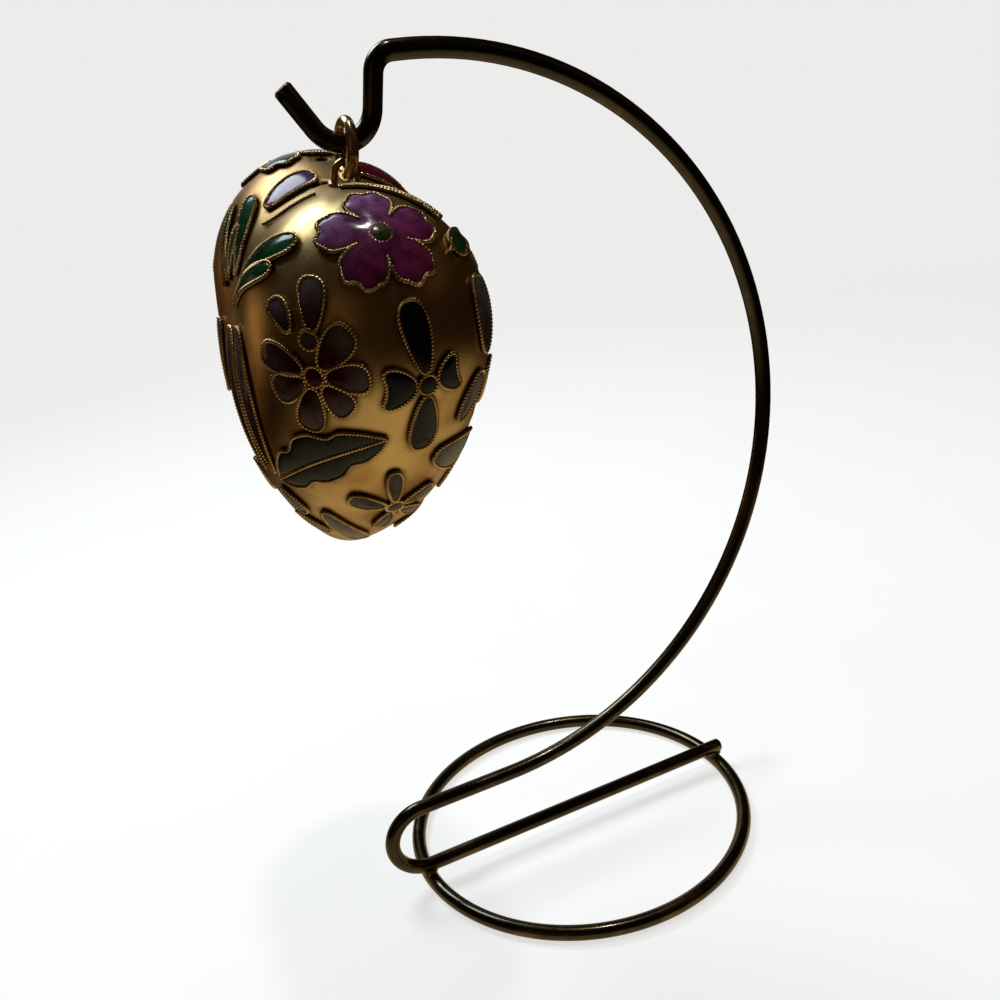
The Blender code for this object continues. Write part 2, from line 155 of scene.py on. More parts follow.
def heart_surface(directions):
    """Where rays from the heart's middle leave it, found by halving."""
    near, far = np.zeros(len(directions)), np.full(len(directions), HEART_HEIGHT)
    for _ in range(HALVINGS):
        half = (near + far) / 2
        inside = heart_distance(HEART_MIDDLE + directions * half[:, None]) < 0
        near, far = np.where(inside, half, near), np.where(inside, far, half)
    return HEART_MIDDLE + directions * near[:, None]


def outward_normals(points):
    steps = 0.05 * MM * np.eye(3)
    slopes = (heart_distance(points + step) - heart_distance(points - step) for step in steps)
    return unit(columns(*slopes))


CLEFT_HEIGHT = heart_surface(np.array([[0.0, 0.0, 1.0]]))[0, 2] - GROUND_DEPTH


def directions_at(longitudes, latitudes):
    """Unit rays from the heart's middle. Latitude is 90 at the cleft."""
    around, up = np.radians(longitudes), np.radians(latitudes)
    return columns(np.cos(up) * np.cos(around), -np.cos(up) * np.sin(around), np.sin(up))


class Plane:
    """A plane that touches the heart, with its own axes to the right and up, seen from outside."""

    def __init__(self, longitude, latitude):
        step = 0.01  # degrees
        longitudes = longitude + step * np.array([0, 1, -1, 0, 0])
        latitudes = latitude + step * np.array([0, 0, 0, -1, 1])
        self.place, left, right, below, above = heart_surface(directions_at(longitudes, latitudes))
        self.outward = unit(np.cross(right - left, above - below))
        self.up = unit(above - below)
        self.right = np.cross(self.up, self.outward)

    def shadow(self, directions):
        """Where rays from the heart's middle cross the plane."""
        share = (self.place - HEART_MIDDLE) @ self.outward / (directions @ self.outward)
        offset = HEART_MIDDLE + directions * share[:, None] - self.place
        return columns(offset @ self.right, offset @ self.up)

    def onto_heart(self, points):
        """The heart's surface points behind points of the plane."""
        rays = self.place + points[:, :1] * self.right + points[:, 1:] * self.up - HEART_MIDDLE
        return heart_surface(unit(rays))


# ---- Outlines of petals and leaves

# How full a petal is, and its notch's spread in radians
PETAL_FULLNESS = 0.75
PETAL_NOTCH_SPREAD = 0.5


def petal(start, reach, width, notch=0.0, pinch=0.5, steps=48):
    """A petal along the first axis, narrower towards its start, with a notch in its tip."""
    angle = 2 * math.pi * np.arange(steps) / steps
    share = (1 - np.cos(angle)) / 2
    dip = np.exp(-(((angle - math.pi) / PETAL_NOTCH_SPREAD) ** 2))
    along = start + (reach - start) * share - notch * dip
    bulge = np.sign(np.sin(angle)) * np.abs(np.sin(angle)) ** PETAL_FULLNESS
    across = width / 2 * bulge * (1 - pinch * (1 - share))
    return columns(along, across)


def circle(radius, steps=32):
    angle = 2 * math.pi * np.arange(steps) / steps
    return radius * columns(np.cos(angle), np.sin(angle))


# A blossom's petals are joined. Each has a notch in its tip's middle and a lesser one on either side.
# Places and spreads are in radians
BLOSSOM_PETALS = 5
BLOSSOM_STRAIGHTNESS = 2.8
BLOSSOM_FULLNESS = 0.6
MIDDLE_NOTCH_SPREAD = 0.11
SIDE_NOTCH_PLACE = 0.36
SIDE_NOTCH_SPREAD = 0.09
SIDE_NOTCH_SHARE = 0.6


def blossom(reach, valley, notch):
    """One outline round joined petals with waved and notched tips."""
    steps = 56 * BLOSSOM_PETALS
    angle = 2 * math.pi * np.arange(steps) / steps
    half = math.pi / BLOSSOM_PETALS
    off = (angle + half) % (2 * half) - half
    swell = (1 - np.abs(off / half) ** BLOSSOM_STRAIGHTNESS) ** BLOSSOM_FULLNESS
    middle = np.exp(-((off / MIDDLE_NOTCH_SPREAD) ** 2))
    sides = np.exp(-(((np.abs(off) - SIDE_NOTCH_PLACE) / SIDE_NOTCH_SPREAD) ** 2))
    radius = valley + (reach - valley) * swell - notch * (middle + SIDE_NOTCH_SHARE * sides)
    return radius[:, None] * columns(np.cos(angle), np.sin(angle))


# A leaf bows to one side, is widest near its base, and has notches between its teeth
LEAF_STEPS = 40
LEAF_BOW = 2.0 * MM
LEAF_LEAN = 0.95
LEAF_FULLNESS = 0.65
LEAF_TEETH = 3
LEAF_NOTCH = 0.26
LEAF_NOTCH_SHARPNESS = 5

# Each side of the vein, and its share of the leaf's width
LEAF_SIDES = ((1, 0.95), (-1, 0.75))


def bowed_line(length, bow, steps):
    """A line along the first axis that bows to the side."""
    share = np.arange(steps + 1) / steps
    return columns(length * share, bow * np.sin(math.pi * share))


def leaf_vein(length):
    return bowed_line(length, LEAF_BOW, LEAF_STEPS)


def leaf_edge(length, width, side):
    share = np.arange(LEAF_STEPS + 1) / LEAF_STEPS
    body = width / 2 * np.maximum(np.sin(math.pi * share**LEAF_LEAN), 0) ** LEAF_FULLNESS
    scallop = 1 - LEAF_NOTCH * np.abs(np.cos(math.pi * LEAF_TEETH * share)) ** LEAF_NOTCH_SHARPNESS
    return leaf_vein(length) + columns(0 * share, side * body * scallop)


def leaf_side(length, width, side):
    """One side of a leaf along the first axis, from its bowed vein to its toothed edge."""
    points = np.concatenate([leaf_vein(length), leaf_edge(length, width, side)[::-1][1:-1]])
    return points[::-1] if side < 0 else points


def leaf_outline(length, width):
    (up, up_share), (down, down_share) = LEAF_SIDES
    upper = leaf_edge(length, width * up_share, up)
    lower = leaf_edge(length, width * down_share, down)
    return np.concatenate([lower, upper[::-1][1:-1]])


def turned(points, angle, shift=(0.0, 0.0)):
    """Points of a plane, turned about its origin and then shifted."""
    along, across = points[:, 0], points[:, 1]
    first = along * math.cos(angle) - across * math.sin(angle) + shift[0]
    second = along * math.sin(angle) + across * math.cos(angle) + shift[1]
    return columns(first, second)


def edge_distance(points, outline, closed=True):
    """How far points in a plane lie from an outline."""
    start, end = outline, np.roll(outline, -1, axis=0)
    if not closed:
        start, end = start[:-1], end[:-1]
    run = end - start
    offset = points[:, None] - start
    share = np.clip((offset * run).sum(axis=2) / (run**2).sum(axis=1), 0.0, 1.0)
    return np.linalg.norm(offset - share[:, :, None] * run, axis=2).min(axis=1)


# ---- The pattern

BLOSSOM_REACH = 7.9 * MM
BLOSSOM_VALLEY = 3.1 * MM
BLOSSOM_NOTCH = 0.7 * MM
BLOSSOM_EYE = 1.35 * MM
FLOWER_EYE = 1.25 * MM

# Each petal's angle, start, reach and width, in degrees and mm, and its notch's depth if it has one
DAISY_REACHES = (6.6, 7.6, 5.8, 7.6, 6.5, 6.8, 6.2)
DAISY_PETALS = tuple((360 / 7 * i, 1.5, reach, 4.2) for i, reach in enumerate(DAISY_REACHES))
DOUBLE_DAISY_PETALS = (
    (8, 1.5, 7.5, 4.7),
    (57, 1.5, 8.3, 5.0),
    (93.5, 5.4, 13.5, 4.7),
    (125, 5.9, 11.2, 3.7),
    (167, 1.5, 7.9, 4.6),
    (210, 1.5, 6.8, 4.8),
    (262, 1.5, 7.7, 4.9),
    (320, 1.5, 6.2, 4.8),
)
IRIS_PETALS = (
    (102, 1.5, 11.8, 4.9),
    (183, 1.5, 6.4, 6.8, 1.1),
    (274, 1.5, 9.9, 5.0),
    (16, 1.5, 5.3, 6.2, 0.8),
)
SMALL_PETALS = (
    (84, 1.5, 8.4, 2.8),
    (148, 1.5, 7.2, 3.8),
    (4, 1.5, 6.2, 3.4),
    (246, 1.5, 7.2, 3.0),
    (300, 1.5, 6.4, 3.0),
)

# The double daisy's second eye: how far out it lies in mm, and at what angle
SECOND_EYE = (4.45, 98)

# The blossoms' enamel, then each flower's longitude, latitude and turn, in degrees
BLOSSOMS = (("plum", 3.7, 48.0, 95), ("sage", 167, 53, 50), ("plum", -72, 38, 60))
DOUBLE_DAISIES = ((23.9, 14.5, 0),)
DAISIES = ((152, 12, 30), (-114, 12, 10))
IRISES = ((-5.7, 12.7, 0), (192, 8, 0))
SMALL_FLOWERS = ((-4.2, -36.3, 18), (180, -40, 0), (-72, -14, 40))

# How far a single petal and a leaf of a sprig narrow towards their base
PETAL_PINCH = 0.3
SPRIG_PINCH = 0.6

# Enamel, longitude and latitude of the base and of the tip, and the width in mm
PETALS = (
    ("violet", 104, 62, 140, 78, 4.6),
    ("grey", -21, -2, -29, 12, 4.4),
    ("grey", -30, 17, -31, 37, 5.6),
    ("sage", -14, -13, -44, -22, 6.5),
    ("maroon", -170, 78, -122, 56, 5.0),
    ("maroon", -10, 78, -62, 62, 5.0),
    ("grey", 51, -43, 38, -51, 3.6),
    ("grey", 50, -57, 27, -62, 3.2),
    ("grey", 26, -44, 2, -66, 4.4),
    ("grey", 108, -20, 112, 12, 3.2),
    ("grey", 126, -48, 110, -60, 3.4),
    ("grey", 226, -8, 220, 16, 4.0),
    ("sage", -52, -8, -40, 12, 4.0),
    ("sage", -122, -48, -96, -8, 4.4),
    ("grey", -50, -58, -20, -60, 3.6),
    ("sage", 160, -68, -150, -62, 4.0),
    ("sage", 100, -62, 84, -46, 3.4),
)
SPRIGS = (
    ("green", 72, 38, 34, 47.5, 4.2),
    ("green", 84, 28, 42, 40.5, 3.2),
    ("green", 90, 38, 122, 57, 3.6),
    ("green", 100, 33, 112, 49, 1.8),
    ("green", 104, 29, 128, 48, 1.8),
    ("green", -50, 50, -24, 44, 4.0),
    ("green", 22, 74, -34, 55, 2.2),
    ("band", 50, -34, 65, 22, 6.2),
    ("band", 60, -38, 89, 17, 6.0),
    ("green", -100, 32, -120, 52, 3.2),
)
LEAVES = (
    (46, -34.5, 4, -3, 9.0),
    (128, -40, 158, -8, 8.6),
    (-138, -42, -154, -10, 8.0),
    (-36, -42, -60, -34, 5.6),
)

# Free wires: longitude and latitude of both ends, and how far they bow in mm
STRAND_STEPS = 60
STRANDS = (
    (86, 58.5, 42, 70, -0.9),
    (10, 74, -30, 56, 0.9),
    (12, 71.5, -29, 54, 0.9),
    (-27, 48.5, -21, 43, 0.3),
)

# Small vent holes in the ground: longitude, latitude and radius in mm
VENTS = ((174, 69.8, 1.05), (118, 79.5, 0.8), (128, 82.5, 0.6))

# Enamels: the colour where a petal starts, and at its tip
ENAMELS = {
    "plum": ((0.46, 0.05, 0.23), (0.27, 0.018, 0.075)),
    "mauve": ((0.1, 0.014, 0.026), (0.24, 0.19, 0.24)),
    "navy": ((0.008, 0.01, 0.03), (0.006, 0.012, 0.045)),
    "brown": ((0.085, 0.035, 0.03), (0.14, 0.12, 0.13)),
    "green": ((0.004, 0.07, 0.02), (0.01, 0.15, 0.045)),
    "leaf": ((0.022, 0.042, 0.032), (0.03, 0.062, 0.045)),
    "violet": ((0.45, 0.09, 0.34), (0.14, 0.07, 0.24)),
    "grey": ((0.12, 0.11, 0.14), (0.3, 0.29, 0.35)),
    "sage": ((0.14, 0.2, 0.16), (0.36, 0.42, 0.38)),
    "band": ((0.1, 0.045, 0.075), (0.2, 0.13, 0.18)),
    "maroon": ((0.28, 0.012, 0.05), (0.14, 0.012, 0.03)),
    "eye": ((0.2, 0.3, 0.07), (0.32, 0.4, 0.16)),
}


class Cell:
    """One field of enamel: its outline in a plane that touches the heart, and where it grows from."""

    def __init__(self, plane, outline, enamel, root):
        self.plane, self.outline, self.enamel, self.root = plane, outline, enamel, root


class Wire:
    """A twisted wire along points in a plane that touches the heart."""

    def __init__(self, plane, points, closed=True):
        self.plane, self.points, self.closed = plane, points, closed


def fan_petal(angle, start, reach, width, notch=0.0):
    """A petal of a flower, from its row in the tables."""
    return turned(petal(start * MM, reach * MM, width * MM, notch * MM), math.radians(angle))


class Pattern:
    """Every enamel cell and every wire on the heart."""

    def __init__(self):
        self.cells, self.wires = [], []
        eye = circle(FLOWER_EYE)
        for enamel, *spot in BLOSSOMS:
            self.add_flower(spot, enamel, [blossom(BLOSSOM_REACH, BLOSSOM_VALLEY, BLOSSOM_NOTCH)])
            self.add_flower(spot, "eye", [circle(BLOSSOM_EYE)])
        for spots, petals, enamel in (
            (DAISIES, DAISY_PETALS, "mauve"),
            (DOUBLE_DAISIES, DOUBLE_DAISY_PETALS, "mauve"),
            (IRISES, IRIS_PETALS, "navy"),
            (SMALL_FLOWERS, SMALL_PETALS, "brown"),
        ):
            for spot in spots:
                self.add_flower(spot, enamel, [fan_petal(*row) for row in petals] + [eye])
        reach, angle = SECOND_EYE
        second = turned(eye + (reach * MM, 0.0), math.radians(angle))
        for spot in DOUBLE_DAISIES:
            self.add_flower(spot, "mauve", [second])
        for enamel, *ends, width in PETALS:
            self.add_petal(ends, width * MM, enamel, PETAL_PINCH)
        for enamel, *ends, width in SPRIGS:
            self.add_petal(ends, width * MM, enamel, SPRIG_PINCH)
        for *ends, width in LEAVES:
            self.add_leaf(ends, width * MM)
        for *ends, bow in STRANDS:
            self.add_strand(ends, bow * MM)

    def add_flower(self, spot, enamel, outlines):
        longitude, latitude, turn = spot
        plane = Plane(longitude, latitude)
        for outline in outlines:
            self.add_cell(plane, turned(outline, math.radians(turn)), enamel)

    def add_cell(self, plane, outline, enamel, root=(0.0, 0.0)):
        self.cells.append(Cell(plane, outline, enamel, root))
        self.wires.append(Wire(plane, outline))

    def lay(self, ends):
        """A plane half way between two places, and the line's start, length and angle there."""
        rays = directions_at(ends[::2], ends[1::2])
        middle = unit(rays.sum(axis=0))
        longitude = math.degrees(math.atan2(-middle[1], middle[0]))
        plane = Plane(longitude, math.degrees(math.asin(middle[2])))
        base, tip = plane.shadow(rays)
        run = tip - base
        return plane, base, math.hypot(*run), math.atan2(run[1], run[0])

    def add_strand(self, ends, bow):
        plane, base, length, angle = self.lay(ends)
        points = turned(bowed_line(length, bow, STRAND_STEPS), angle, base)
        self.wires.append(Wire(plane, points, closed=False))

    def add_petal(self, ends, width, enamel, pinch):
        plane, base, length, angle = self.lay(ends)
        self.add_cell(plane, turned(petal(0.0, length, width, 0.0, pinch), angle, base), enamel, base)

    def add_leaf(self, ends, width):
        plane, base, length, angle = self.lay(ends)
        for side, share in LEAF_SIDES:
            outline = turned(leaf_side(length, width * share, side), angle, base)
            self.cells.append(Cell(plane, outline, "leaf", base))
        self.wires.append(Wire(plane, turned(leaf_outline(length, width), angle, base)))
        self.wires.append(Wire(plane, turned(leaf_vein(length), angle, base), closed=False))


PATTERN = Pattern()


# ---- Sizes and colours that a user may change


def length_property(name, description, default):
    return bpy.props.FloatProperty(
        name=name, description=description, default=default, unit="LENGTH", precision=5
    )


def colour_property(name, description, default):
    return bpy.props.FloatVectorProperty(
        name=name, description=description, default=default, subtype="COLOR"
    )


class WireSizes(bpy.types.PropertyGroup):
    """Sizes of the stand's and the heart's wires."""

    stand: length_property("Stand wire", "Diameter of the stand's wire", STAND_WIRE)
    rope: length_property("Cell wire", "Width of the twisted wire round each enamel cell", 0.6 * MM)
    rope_pitch: length_property("Cell wire pitch", "Length of one whole twist", 0.9 * MM)


class EnamelSizes(bpy.types.PropertyGroup):
    """Sizes of the enamel and of the ground between the cells."""

    ground_depth: length_property(
        "Ground depth", "How far the gilt ground lies under the enamel", GROUND_DEPTH
    )
    dome: length_property("Dome", "How far the enamel swells in the middle of a cell", 0.2 * MM)
    grain: length_property("Grain", "Spacing of the enamel's mesh", 0.42 * MM)


class MetalColours(bpy.types.PropertyGroup):
    """Colours of the metals and of the floor."""

    gilt: colour_property("Gilt", "Colour of the gilt ground and wires", (0.87, 0.63, 0.27))
    antique: colour_property("Antique brass", "Colour of the dark stand wire", (0.085, 0.066, 0.034))
    floor: colour_property("Floor", "Colour of the floor", (0.86, 0.86, 0.85))


def sizes():
    return bpy.context.scene.heart_wire_sizes


def colours():
    return bpy.context.scene.heart_metal_colours


# ---- Nodes


class Value:
    """A node socket that can be used in sums. Each sum adds a Math node."""

    def __init__(self, tree, socket):
        self.tree, self.socket = tree, socket

    def math(self, operation, *values):
        node = self.tree.nodes.new("ShaderNodeMath")
        node.operation = operation
        for slot, value in zip(node.inputs, values):
            join(self.tree, value, slot)
        return Value(self.tree, node.outputs[0])

    def __add__(self, other):
        return self.math("ADD", self, other)

    def __sub__(self, other):
        return self.math("SUBTRACT", self, other)

    def __rsub__(self, other):
        return self.math("SUBTRACT", other, self)

    def __mul__(self, other):
        return self.math("MULTIPLY", self, other)

    def __truediv__(self, other):
        return self.math("DIVIDE", self, other)

    def __rtruediv__(self, other):
        return self.math("DIVIDE", other, self)

    __radd__, __rmul__ = __add__, __mul__


def join(tree, value, slot):
    """Links a Value to a socket, or sets the socket to a plain value."""
    if isinstance(value, Value):
        tree.links.new(value.socket, slot)
    else:
        slot.default_value = value


class Nodes:
    """Adds nodes to a tree."""

    def __init__(self, tree):
        self.tree = tree

    def node(self, kind, settings=None, output=0, **inputs):
        """Adds a node of a type, with its settings first and then its sockets, and gives one output.

        A socket goes by its name with _ for each space, or by _ and its number.
        """
        node = self.tree.nodes.new(kind)
        for name, value in (settings or {}).items():
            setattr(node, name, value)
        for name, value in inputs.items():
            slot = node.inputs[int(name[1:])] if name[0] == "_" else node.inputs[name.replace("_", " ")]
            join(self.tree, value, slot)
        return Value(self.tree, node.outputs[output])


# ---- Materials


def rgba(colour):
    """A colour as a socket takes it. A Value stays as it is."""
    return colour if isinstance(colour, Value) else (*colour, 1.0)


def dimmed(colour, share):
    return tuple(part * share for part in colour)


class Finish(Nodes):
    """A material and the nodes that feed its shader."""

    def __init__(self, name, **constants):
        self.material = bpy.data.materials.new(name)
        self.material.use_nodes = True
        super().__init__(self.material.node_tree)
        self.shader = self.tree.nodes["Principled BSDF"]
        self.feed(**constants)

    def place(self):
        return self.node("ShaderNodeTexCoord", output="Object")

    def distance_out(self):
        """How far a point lies from the piece's origin."""
        return self.node("ShaderNodeVectorMath", {"operation": "LENGTH"}, 1, Vector=self.place())

    def noise(self, scale, detail, roughness, place=None):
        settings = {"noise_dimensions": "3D"}
        place = place or self.place()
        return self.node(
            "ShaderNodeTexNoise", settings, Vector=place, Scale=scale, Detail=detail, Roughness=roughness
        )

    def attribute(self, name, output="Fac"):
        return self.node("ShaderNodeAttribute", {"attribute_name": name}, output)

    def mix(self, factor, one, other, blend="MIX"):
        """Mixes colours. The sockets are those of a colour mix."""
        settings = {"data_type": "RGBA", "blend_type": blend}
        return self.node("ShaderNodeMix", settings, 2, _0=factor, _6=rgba(one), _7=rgba(other))

    def span(self, value, low, high, out_low=0.0, out_high=1.0):
        """Takes a value from one span to another, held at both ends."""
        ends = {"From_Min": low, "From_Max": high, "To_Min": out_low, "To_Max": out_high}
        return self.node("ShaderNodeMapRange", {"clamp": True}, Value=value, **ends)

    def bump(self, height, strength, distance):
        return self.node("ShaderNodeBump", Height=height, Strength=strength, Distance=distance)

    def feed(self, **sockets):
        for name, value in sockets.items():
            join(self.tree, value, self.shader.inputs[name.replace("_", " ")])
        return self.material


BLACK = (0.0, 0.0, 0.0)
FRESH_GILT = (0.95, 0.7, 0.31)
TARNISH = (0.42, 0.19, 0.05)
BROWN_PATINA_AND_SHADE = (0.1, 0.042, 0.014)
VENT_PAINTED_SHADE = (0.004, 0.003, 0.002)
BROWNED_WIRE = (0.3, 0.15, 0.05)
BRIGHT_WIRE = (0.95, 0.68, 0.32)
RUBBED_BRASS = (0.3, 0.22, 0.1)
DARK_SOLDER = (0.1, 0.075, 0.04)
BRIGHT_SOLDER = (0.34, 0.26, 0.14)
ENAMEL_VEIL = (0.6, 0.55, 0.62)
ENAMEL_SPECK = (0.012, 0.01, 0.012)
GLOW_NEAR = (1.0, 0.78, 0.44)
GLOW_FAR = (0.015, 0.01, 0.005)


def gilt_ground(colour):
    """Satin gilt with a fine grain, browned in patches, with brown patina and painted shade beside the
    wires, and painted shade as the dark of the vents.
    """
    finish = Finish("gilt_ground", Specular_IOR_Level=0.0)
    place = finish.place()
    shade = finish.attribute("shade")
    broad = finish.noise(75.0, 3.0, 0.5, place)
    cloud = finish.noise(300.0, 4.0, 0.6, place)
    fine = finish.noise(3000.0, 3.0, 0.65, place)
    gilt = finish.mix(finish.span(cloud, 0.35, 0.7), dimmed(colour, 0.95), FRESH_GILT)
    gilt = finish.mix(finish.span(broad + 0.3 * cloud, 0.5, 0.85, 0.0, 0.9), gilt, TARNISH)
    # Brown patina and painted shade beside the wires
    brown = finish.span(shade + 0.3 * cloud - 0.16, 0.15, 1.0, 0.0, 0.8)
    vent_dent_and_shade = finish.attribute("vent_dent_and_shade")
    # The vents' dark: painted shade on a shallow dent, dull and not metallic
    stained_and_shaded = finish.mix(vent_dent_and_shade, finish.mix(brown, gilt, BROWN_PATINA_AND_SHADE), VENT_PAINTED_SHADE)
    rough = finish.span(cloud, 0.3, 0.72, 0.27, 0.4) + 0.15 * brown + 0.4 * vent_dent_and_shade
    bumps = finish.bump(fine * 0.5 + cloud * 0.5 - vent_dent_and_shade, 0.3, 0.14 * MM)
    return finish.feed(Base_Color=stained_and_shaded, Metallic=1.0 - vent_dent_and_shade, Roughness=rough, Normal=bumps)


def gilt_wire(colour, name="gilt_wire"):
    """Bright wire that has gone brown in places."""
    finish = Finish(name, Metallic=1.0)
    cloud = finish.noise(330.0, 3.0, 0.6)
    fine = finish.noise(5200.0, 2.0, 0.5)
    worn = finish.span(cloud, 0.3, 0.62)
    metal = finish.mix(worn, BROWNED_WIRE, BRIGHT_WIRE)
    metal = finish.mix(finish.span(fine, 0.3, 0.7, 0.0, 0.35), metal, dimmed(colour, 0.8))
    rough = finish.span(worn, 0.0, 1.0, 0.34, 0.2)
    return finish.feed(Base_Color=metal, Roughness=rough, Normal=finish.bump(fine, 0.15, 0.04 * MM))


def antique_brass(colour):
    """Dark, glossy, lacquered wire, rubbed to olive in patches, with a fine grain."""
    finish = Finish("antique_brass", Metallic=1.0, Coat_Weight=0.6, Coat_Roughness=0.07)
    cloud = finish.noise(110.0, 4.0, 0.6)
    fine = finish.noise(1500.0, 4.0, 0.6)
    rubbed = finish.span(cloud + 0.1 * fine, 0.58, 0.86, 0.0, 0.7)
    dark = finish.mix(finish.span(cloud, 0.3, 0.7), dimmed(colour, 0.45), colour)
    metal = finish.mix(rubbed, dark, RUBBED_BRASS)
    rough = finish.span(fine, 0.3, 0.75, 0.2, 0.32)
    return finish.feed(Base_Color=metal, Roughness=rough, Normal=finish.bump(fine, 0.05, 0.08 * MM))


def solder():
    """Dull grey-brown solder, lumpy and stained."""
    finish = Finish("solder", Metallic=1.0)
    cloud = finish.noise(700.0, 4.0, 0.6)
    metal = finish.mix(finish.span(cloud, 0.35, 0.65), DARK_SOLDER, BRIGHT_SOLDER)
    rough = finish.span(cloud, 0.3, 0.7, 0.3, 0.5)
    return finish.feed(Base_Color=metal, Roughness=rough, Normal=finish.bump(cloud, 0.4, 0.2 * MM))


def fired_enamel():
    """Glassy enamel with clouds of its own colour, and a few sunken specks."""
    finish = Finish(
        "fired_enamel", Metallic=0.0, Coat_Weight=0.15, Coat_Roughness=0.04, Specular_IOR_Level=0.2
    )
    place = finish.place()
    colour = finish.attribute("enamel", "Color")
    cloud = finish.noise(480.0, 4.0, 0.6, place)
    veil = finish.noise(1300.0, 3.0, 0.6, place)
    deep = finish.mix(finish.span(cloud, 0.3, 0.62, 0.7, 0.0), colour, BLACK)
    lifted = finish.mix(finish.span(veil, 0.5, 0.8, 0.0, 0.5), deep, ENAMEL_VEIL, "SOFT_LIGHT")
    specks = finish.node("ShaderNodeTexVoronoi", {"feature": "F1"}, Vector=place, Scale=800.0)
    speck = finish.span(specks, 0.04, 0.14, 1.0, 0.0)
    body = finish.mix(0.6 * speck, lifted, ENAMEL_SPECK)
    rough = finish.span(cloud, 0.3, 0.75, 0.1, 0.26)
    bumps = finish.bump(veil - 0.5 * speck, 0.12, 0.1 * MM)
    return finish.feed(Base_Color=body, Roughness=rough, Normal=bumps)


def plain_floor(colour):
    """Pale paper that is bright in itself, so that it stays pale under dim lamps and far from them."""
    finish = Finish("pale_floor", Roughness=0.8, Emission_Strength=0.8)
    fine = finish.noise(30.0, 2.0, 0.5)
    tone = finish.mix(finish.span(fine, 0.3, 0.7), dimmed(colour, 0.985), colour)
    far = finish.span(finish.distance_out(), 0.15, 0.6)
    glow = finish.mix(far, tone, dimmed(colour, 1.22))
    return finish.feed(Base_Color=finish.mix(far, tone, BLACK), Emission_Color=glow)


def floor_glow():
    """A glowing card that is no lamp, seen by the metal and the enamel in place of the floor: a painted
    reflection of the floor and painted light from below, as a warm patch that fades outwards.
    """
    finish = Finish("floor_glow", Base_Color=rgba(BLACK), Specular_IOR_Level=0.0, Emission_Strength=0.46)
    fade = finish.span(finish.distance_out(), 0.05, 0.21)
    return finish.feed(Emission_Color=finish.mix(fade, GLOW_NEAR, GLOW_FAR))


# ---- Meshes


def heart_to_world():
    """Brings the heart's own coordinates to the frame's."""
    up = HEART_TURN.to_matrix() @ Vector((0.0, 0.0, 1.0))
    cleft = stand_points()[1] + BAR_PLACE - up * HOOK_RISE
    turn = HEART_TURN.to_matrix().to_4x4()
    return Matrix.Translation(cleft) @ turn @ Matrix.Translation((0.0, 0.0, -CLEFT_HEIGHT))


def cleft_to_world():
    """The same, with the origin in the cleft."""
    return heart_to_world() @ Matrix.Translation((0.0, 0.0, CLEFT_HEIGHT))


def to_world(points):
    matrix = np.array(heart_to_world())
    return points @ matrix[:3, :3].T + matrix[:3, 3]


def new_mesh(name, points, faces, material, replaces=()):
    """A finished piece from points and faces in the frame's coordinates."""
    mesh = bpy.data.meshes.new(name)
    mesh.from_pydata([tuple(point) for point in points], [], [tuple(face) for face in faces])
    return new_piece(name, mesh, material, replaces)


def new_piece(name, mesh, material, replaces=()):
    mesh.materials.clear()
    mesh.materials.append(material)
    mesh.polygons.foreach_set("use_smooth", [True] * len(mesh.polygons))
    piece = bpy.data.objects.new(name, mesh)
    bpy.context.scene.collection.objects.link(piece)
    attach(piece, "root")
    if replaces:
        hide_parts(*replaces)
    return piece


def add_attribute(piece, name, kind, values):
    layer = piece.data.attributes.new(name, kind, "POINT")
    member = "color" if kind == "FLOAT_COLOR" else "value"
    layer.data.foreach_set(member, np.asarray(values, dtype=float).ravel())


def ball_directions(levels):
    ball = bmesh.new()
    bmesh.ops.create_icosphere(ball, subdivisions=levels, radius=1.0)
    directions = np.array([tuple(vert.co) for vert in ball.verts])
    faces = [[vert.index for vert in face.verts] for face in ball.faces]
    ball.free()
    return unit(directions), faces


# A bend has a point for each step, and so many at least
BEND_STEP = math.radians(2)
LEAST_BEND_STEPS = 12


def pointing(angle):
    return Vector((math.cos(angle), 0.0, math.sin(angle)))


class Path:
    """Points of a bent wire in the XZ plane, made of straight runs and round bends."""

    def __init__(self, x, z, heading):
        self.points = [Vector((x, 0.0, z))]
        self.heading = heading

    def straight(self, length, steps=1):
        step = pointing(self.heading) * length / steps
        for _ in range(steps):
            self.points.append(self.points[-1] + step)

    def bend(self, radius, turn):
        """Turns left for a positive angle and right for a negative one."""
        to_centre = self.heading + math.copysign(1.0, turn) * math.pi / 2
        centre = self.points[-1] + pointing(to_centre) * radius
        steps = max(LEAST_BEND_STEPS, math.ceil(abs(turn) / BEND_STEP))
        for i in range(1, steps + 1):
            self.points.append(centre + pointing(to_centre + math.pi + turn * i / steps) * radius)
        self.heading += turn


def stand_points():
    """The stand wire's path, and the lowest point of its hook."""
    path = Path(RING_RADIUS + BAR_OVERHANG, BAR_HEIGHT, math.pi)
    path.straight(2 * RING_RADIUS + BAR_OVERHANG - LOOP_INSET, 20)
    path.bend(LOOP_RADIUS, -math.pi)
    path.straight(ARCH_CENTRE_X + RING_RADIUS - LOOP_INSET, 6)
    path.bend(ARCH_RADIUS, math.pi)
    path.straight(HOOK_RUN)
    path.bend(CORNER_RADIUS, math.pi / 2 - DROP_LEAN)
    path.straight(DROP_LENGTH, 3)
    path.bend(HOOK_RADIUS, -(math.pi / 2 - DROP_LEAN))
    lowest = path.points[-1].copy()
    path.bend(HOOK_RADIUS, -HOOK_ARM_RISE)
    path.straight(HOOK_ARM_LENGTH, 5)
    return path.points, lowest


# ---- Geometry Nodes


